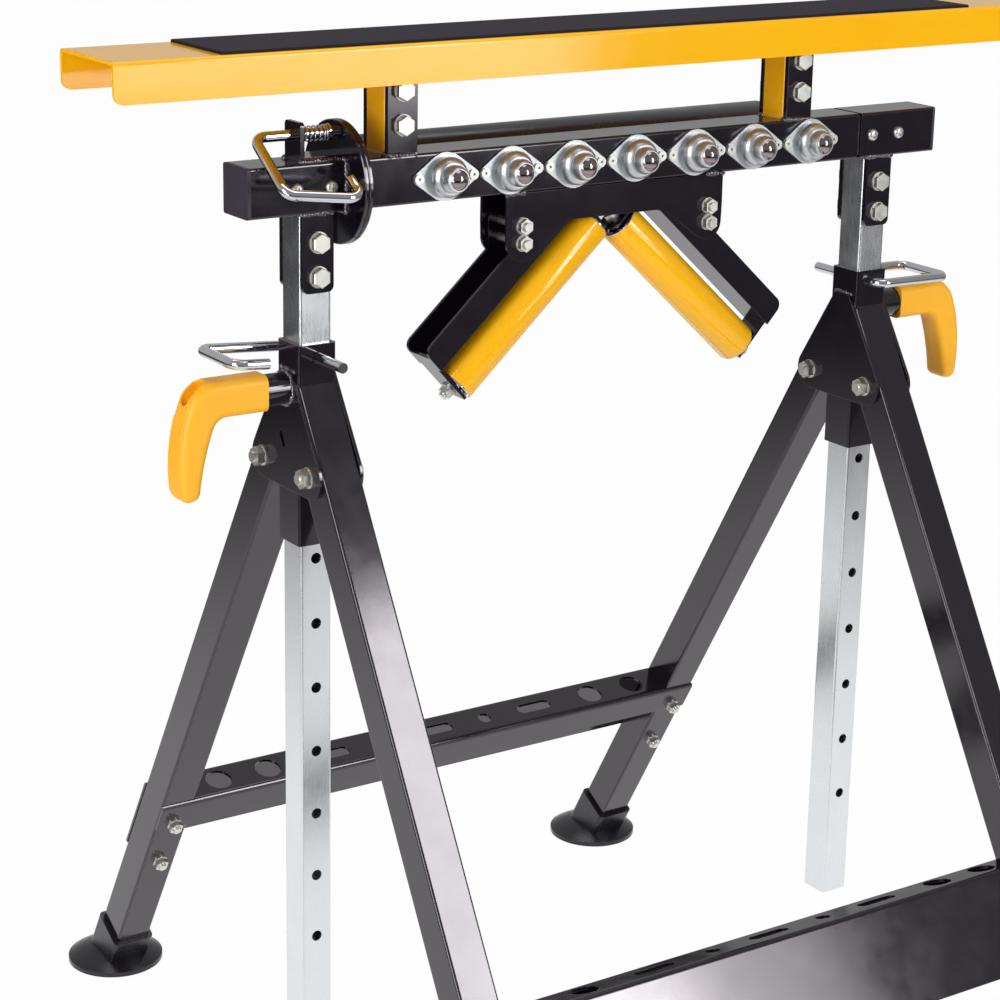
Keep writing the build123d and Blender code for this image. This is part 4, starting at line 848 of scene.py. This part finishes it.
# %% Floor paper
FLOOR_SHARE = 0.97
BRIGHT_TO = 1.0
DIM_FROM = 3.0
FAR_LEAST = 0.05
FAR_GAIN = 0.28
FRONT_GAIN = 0.3
PAPER_FIBRE_MM = 3
floor_paper = bpy.data.materials.new("white_paper_floor")
floor_paper.use_nodes = True
paper = floor_paper.node_tree
paper.nodes.clear()
floor_place = put(paper, "ShaderNodeTexCoord").outputs["Object"]
fibre = put(paper, "ShaderNodeTexNoise", {"Scale": per_metre(PAPER_FIBRE_MM)}, {"Vector": floor_place})
tint = put(paper, "ShaderNodeMix", {6: linear("#EEEEEE"), 7: linear("#F4F4F4")},
           {0: fibre.outputs["Fac"]}, data_type="RGBA")
matte = put(paper, "ShaderNodeBsdfDiffuse", links={"Color": tint.outputs[2]})
floor_path = put(paper, "ShaderNodeLightPath").outputs
away = put(paper, "ShaderNodeVectorMath", links={0: floor_place}, operation="LENGTH")
across_back = put(paper, "ShaderNodeSeparateXYZ", links={0: floor_place}).outputs
rightward = put(paper, "ShaderNodeMapRange", {"From Min": -0.5, "From Max": 2.0}, {"Value": across_back["X"]})
backward = put(paper, "ShaderNodeMapRange", {"From Min": -1.0, "From Max": 2.0, "To Min": FRONT_GAIN},
               {"Value": across_back["Y"]})
right_light = put(paper, "ShaderNodeMath", {1: FAR_GAIN}, {0: rightward.outputs[0]}, operation="MULTIPLY")
far_light = put(paper, "ShaderNodeMath", {2: FAR_LEAST},
                {0: right_light.outputs[0], 1: backward.outputs[0]}, operation="MULTIPLY_ADD")
pool = put(paper, "ShaderNodeMapRange", {"From Min": BRIGHT_TO, "From Max": DIM_FROM, "To Min": 1.0},
           {"Value": away.outputs["Value"], "To Max": far_light.outputs[0]}, interpolation_type="SMOOTHSTEP")
strength = put(paper, "ShaderNodeMix", {3: 1.0}, {0: floor_path["Is Camera Ray"], 2: pool.outputs[0]})
glow = put(paper, "ShaderNodeEmission", {"Color": (1, 1, 1, 1)}, {"Strength": strength.outputs[0]})
seen = put(paper, "ShaderNodeMath", {1: FLOOR_SHARE}, {0: floor_path["Is Camera Ray"]}, operation="MULTIPLY")
mirrored = put(paper, "ShaderNodeMath", operation="MAXIMUM",
               links={0: floor_path["Is Glossy Ray"], 1: floor_path["Is Transmission Ray"]})
either = put(paper, "ShaderNodeMath", operation="MAXIMUM", links={0: seen.outputs[0], 1: mirrored.outputs[0]})
sheet = put(paper, "ShaderNodeMixShader",
            links={0: either.outputs[0], 1: matte.outputs[0], 2: glow.outputs[0]})
put(paper, "ShaderNodeOutputMaterial", links={"Surface": sheet.outputs[0]})
floor_mesh.materials.append(floor_paper)
print("floor: bright to", BRIGHT_TO, "m, dim from", DIM_FROM, "m")


# %% Lamps
def soft_box(name, place, target, width, tall, radiance):
    """A rectangular lamp that faces a target, given by how bright its face is."""
    lamp = bpy.data.lights.new(name, "AREA")
    lamp.shape = "RECTANGLE"
    lamp.size = width
    lamp.size_y = tall
    lamp.energy = radiance * math.pi * width * tall
    box = bpy.data.objects.new(name, lamp)
    scene.collection.objects.link(box)
    box.location = place
    box.rotation_mode = "QUATERNION"
    box.rotation_quaternion = (Vector(target) - Vector(place)).to_track_quat("-Z", "Y")
    print("lamp", name, round(lamp.energy, 1), "W")


soft_box("front_soft_box", (1.28, -2.65, 1.68), (0, 0, 0.6), 0.6, 1.4, 11.5)
soft_box("tray_soft_box", (1.6, -2.62, 1.3), (1.6, 0, 0.9), 0.75, 0.45, 5.0)
soft_box("rail_soft_box", (1.17, -2.65, 0.72), (0, 0, 0.9), 1.05, 0.36, 5.2)
soft_box("left_soft_box", (-3.0, -1.2, 1.45), (0, 0, 0.6), 1.1, 2.4, 7.0)
soft_box("left_card", (-2.2, -1.5, 0.4), (-0.2, 0, 0.7), 0.6, 0.8, 2.5)
soft_box("overhead_soft_box", (0.2, 0.2, 3.4), (0, 0, 0.6), 2.6, 2.0, 1.8)

# %% [markdown]
# ## Camera
# The camera was fitted to the photograph: a long lens, a little above the rail, looking down and to the
# right, with a trace of roll. Its turn is given by angles, because they say more to a reader than a matrix.

# %% Camera
CAMERA_PLACE = Vector((-1.4056, -1.9474, 1.3316))
CAMERA_YAW = math.radians(33.79)
CAMERA_PITCH = math.radians(16.05)
CAMERA_ROLL = math.radians(1.055)
LENS_MM = 93.3
SHIFT_Y = -0.05
ahead = Vector((math.sin(CAMERA_YAW) * math.cos(CAMERA_PITCH), math.cos(CAMERA_YAW) * math.cos(CAMERA_PITCH),
                -math.sin(CAMERA_PITCH)))
level = Vector((math.cos(CAMERA_YAW), -math.sin(CAMERA_YAW), 0))
upright = level.cross(ahead)
across = level * math.cos(CAMERA_ROLL) + upright * math.sin(CAMERA_ROLL)
upward = upright * math.cos(CAMERA_ROLL) - level * math.sin(CAMERA_ROLL)
lens = bpy.data.cameras.new("camera")
lens.lens = LENS_MM
lens.shift_y = SHIFT_Y
camera = bpy.data.objects.new("camera", lens)
scene.collection.objects.link(camera)
camera_turn = Matrix((across, upward, -ahead)).transposed().to_4x4()
camera.matrix_world = Matrix.Translation(CAMERA_PLACE) @ camera_turn
scene.camera = camera
print("camera:", LENS_MM, "mm lens,", round(CAMERA_PLACE.length, 2), "m from the middle of the floor")
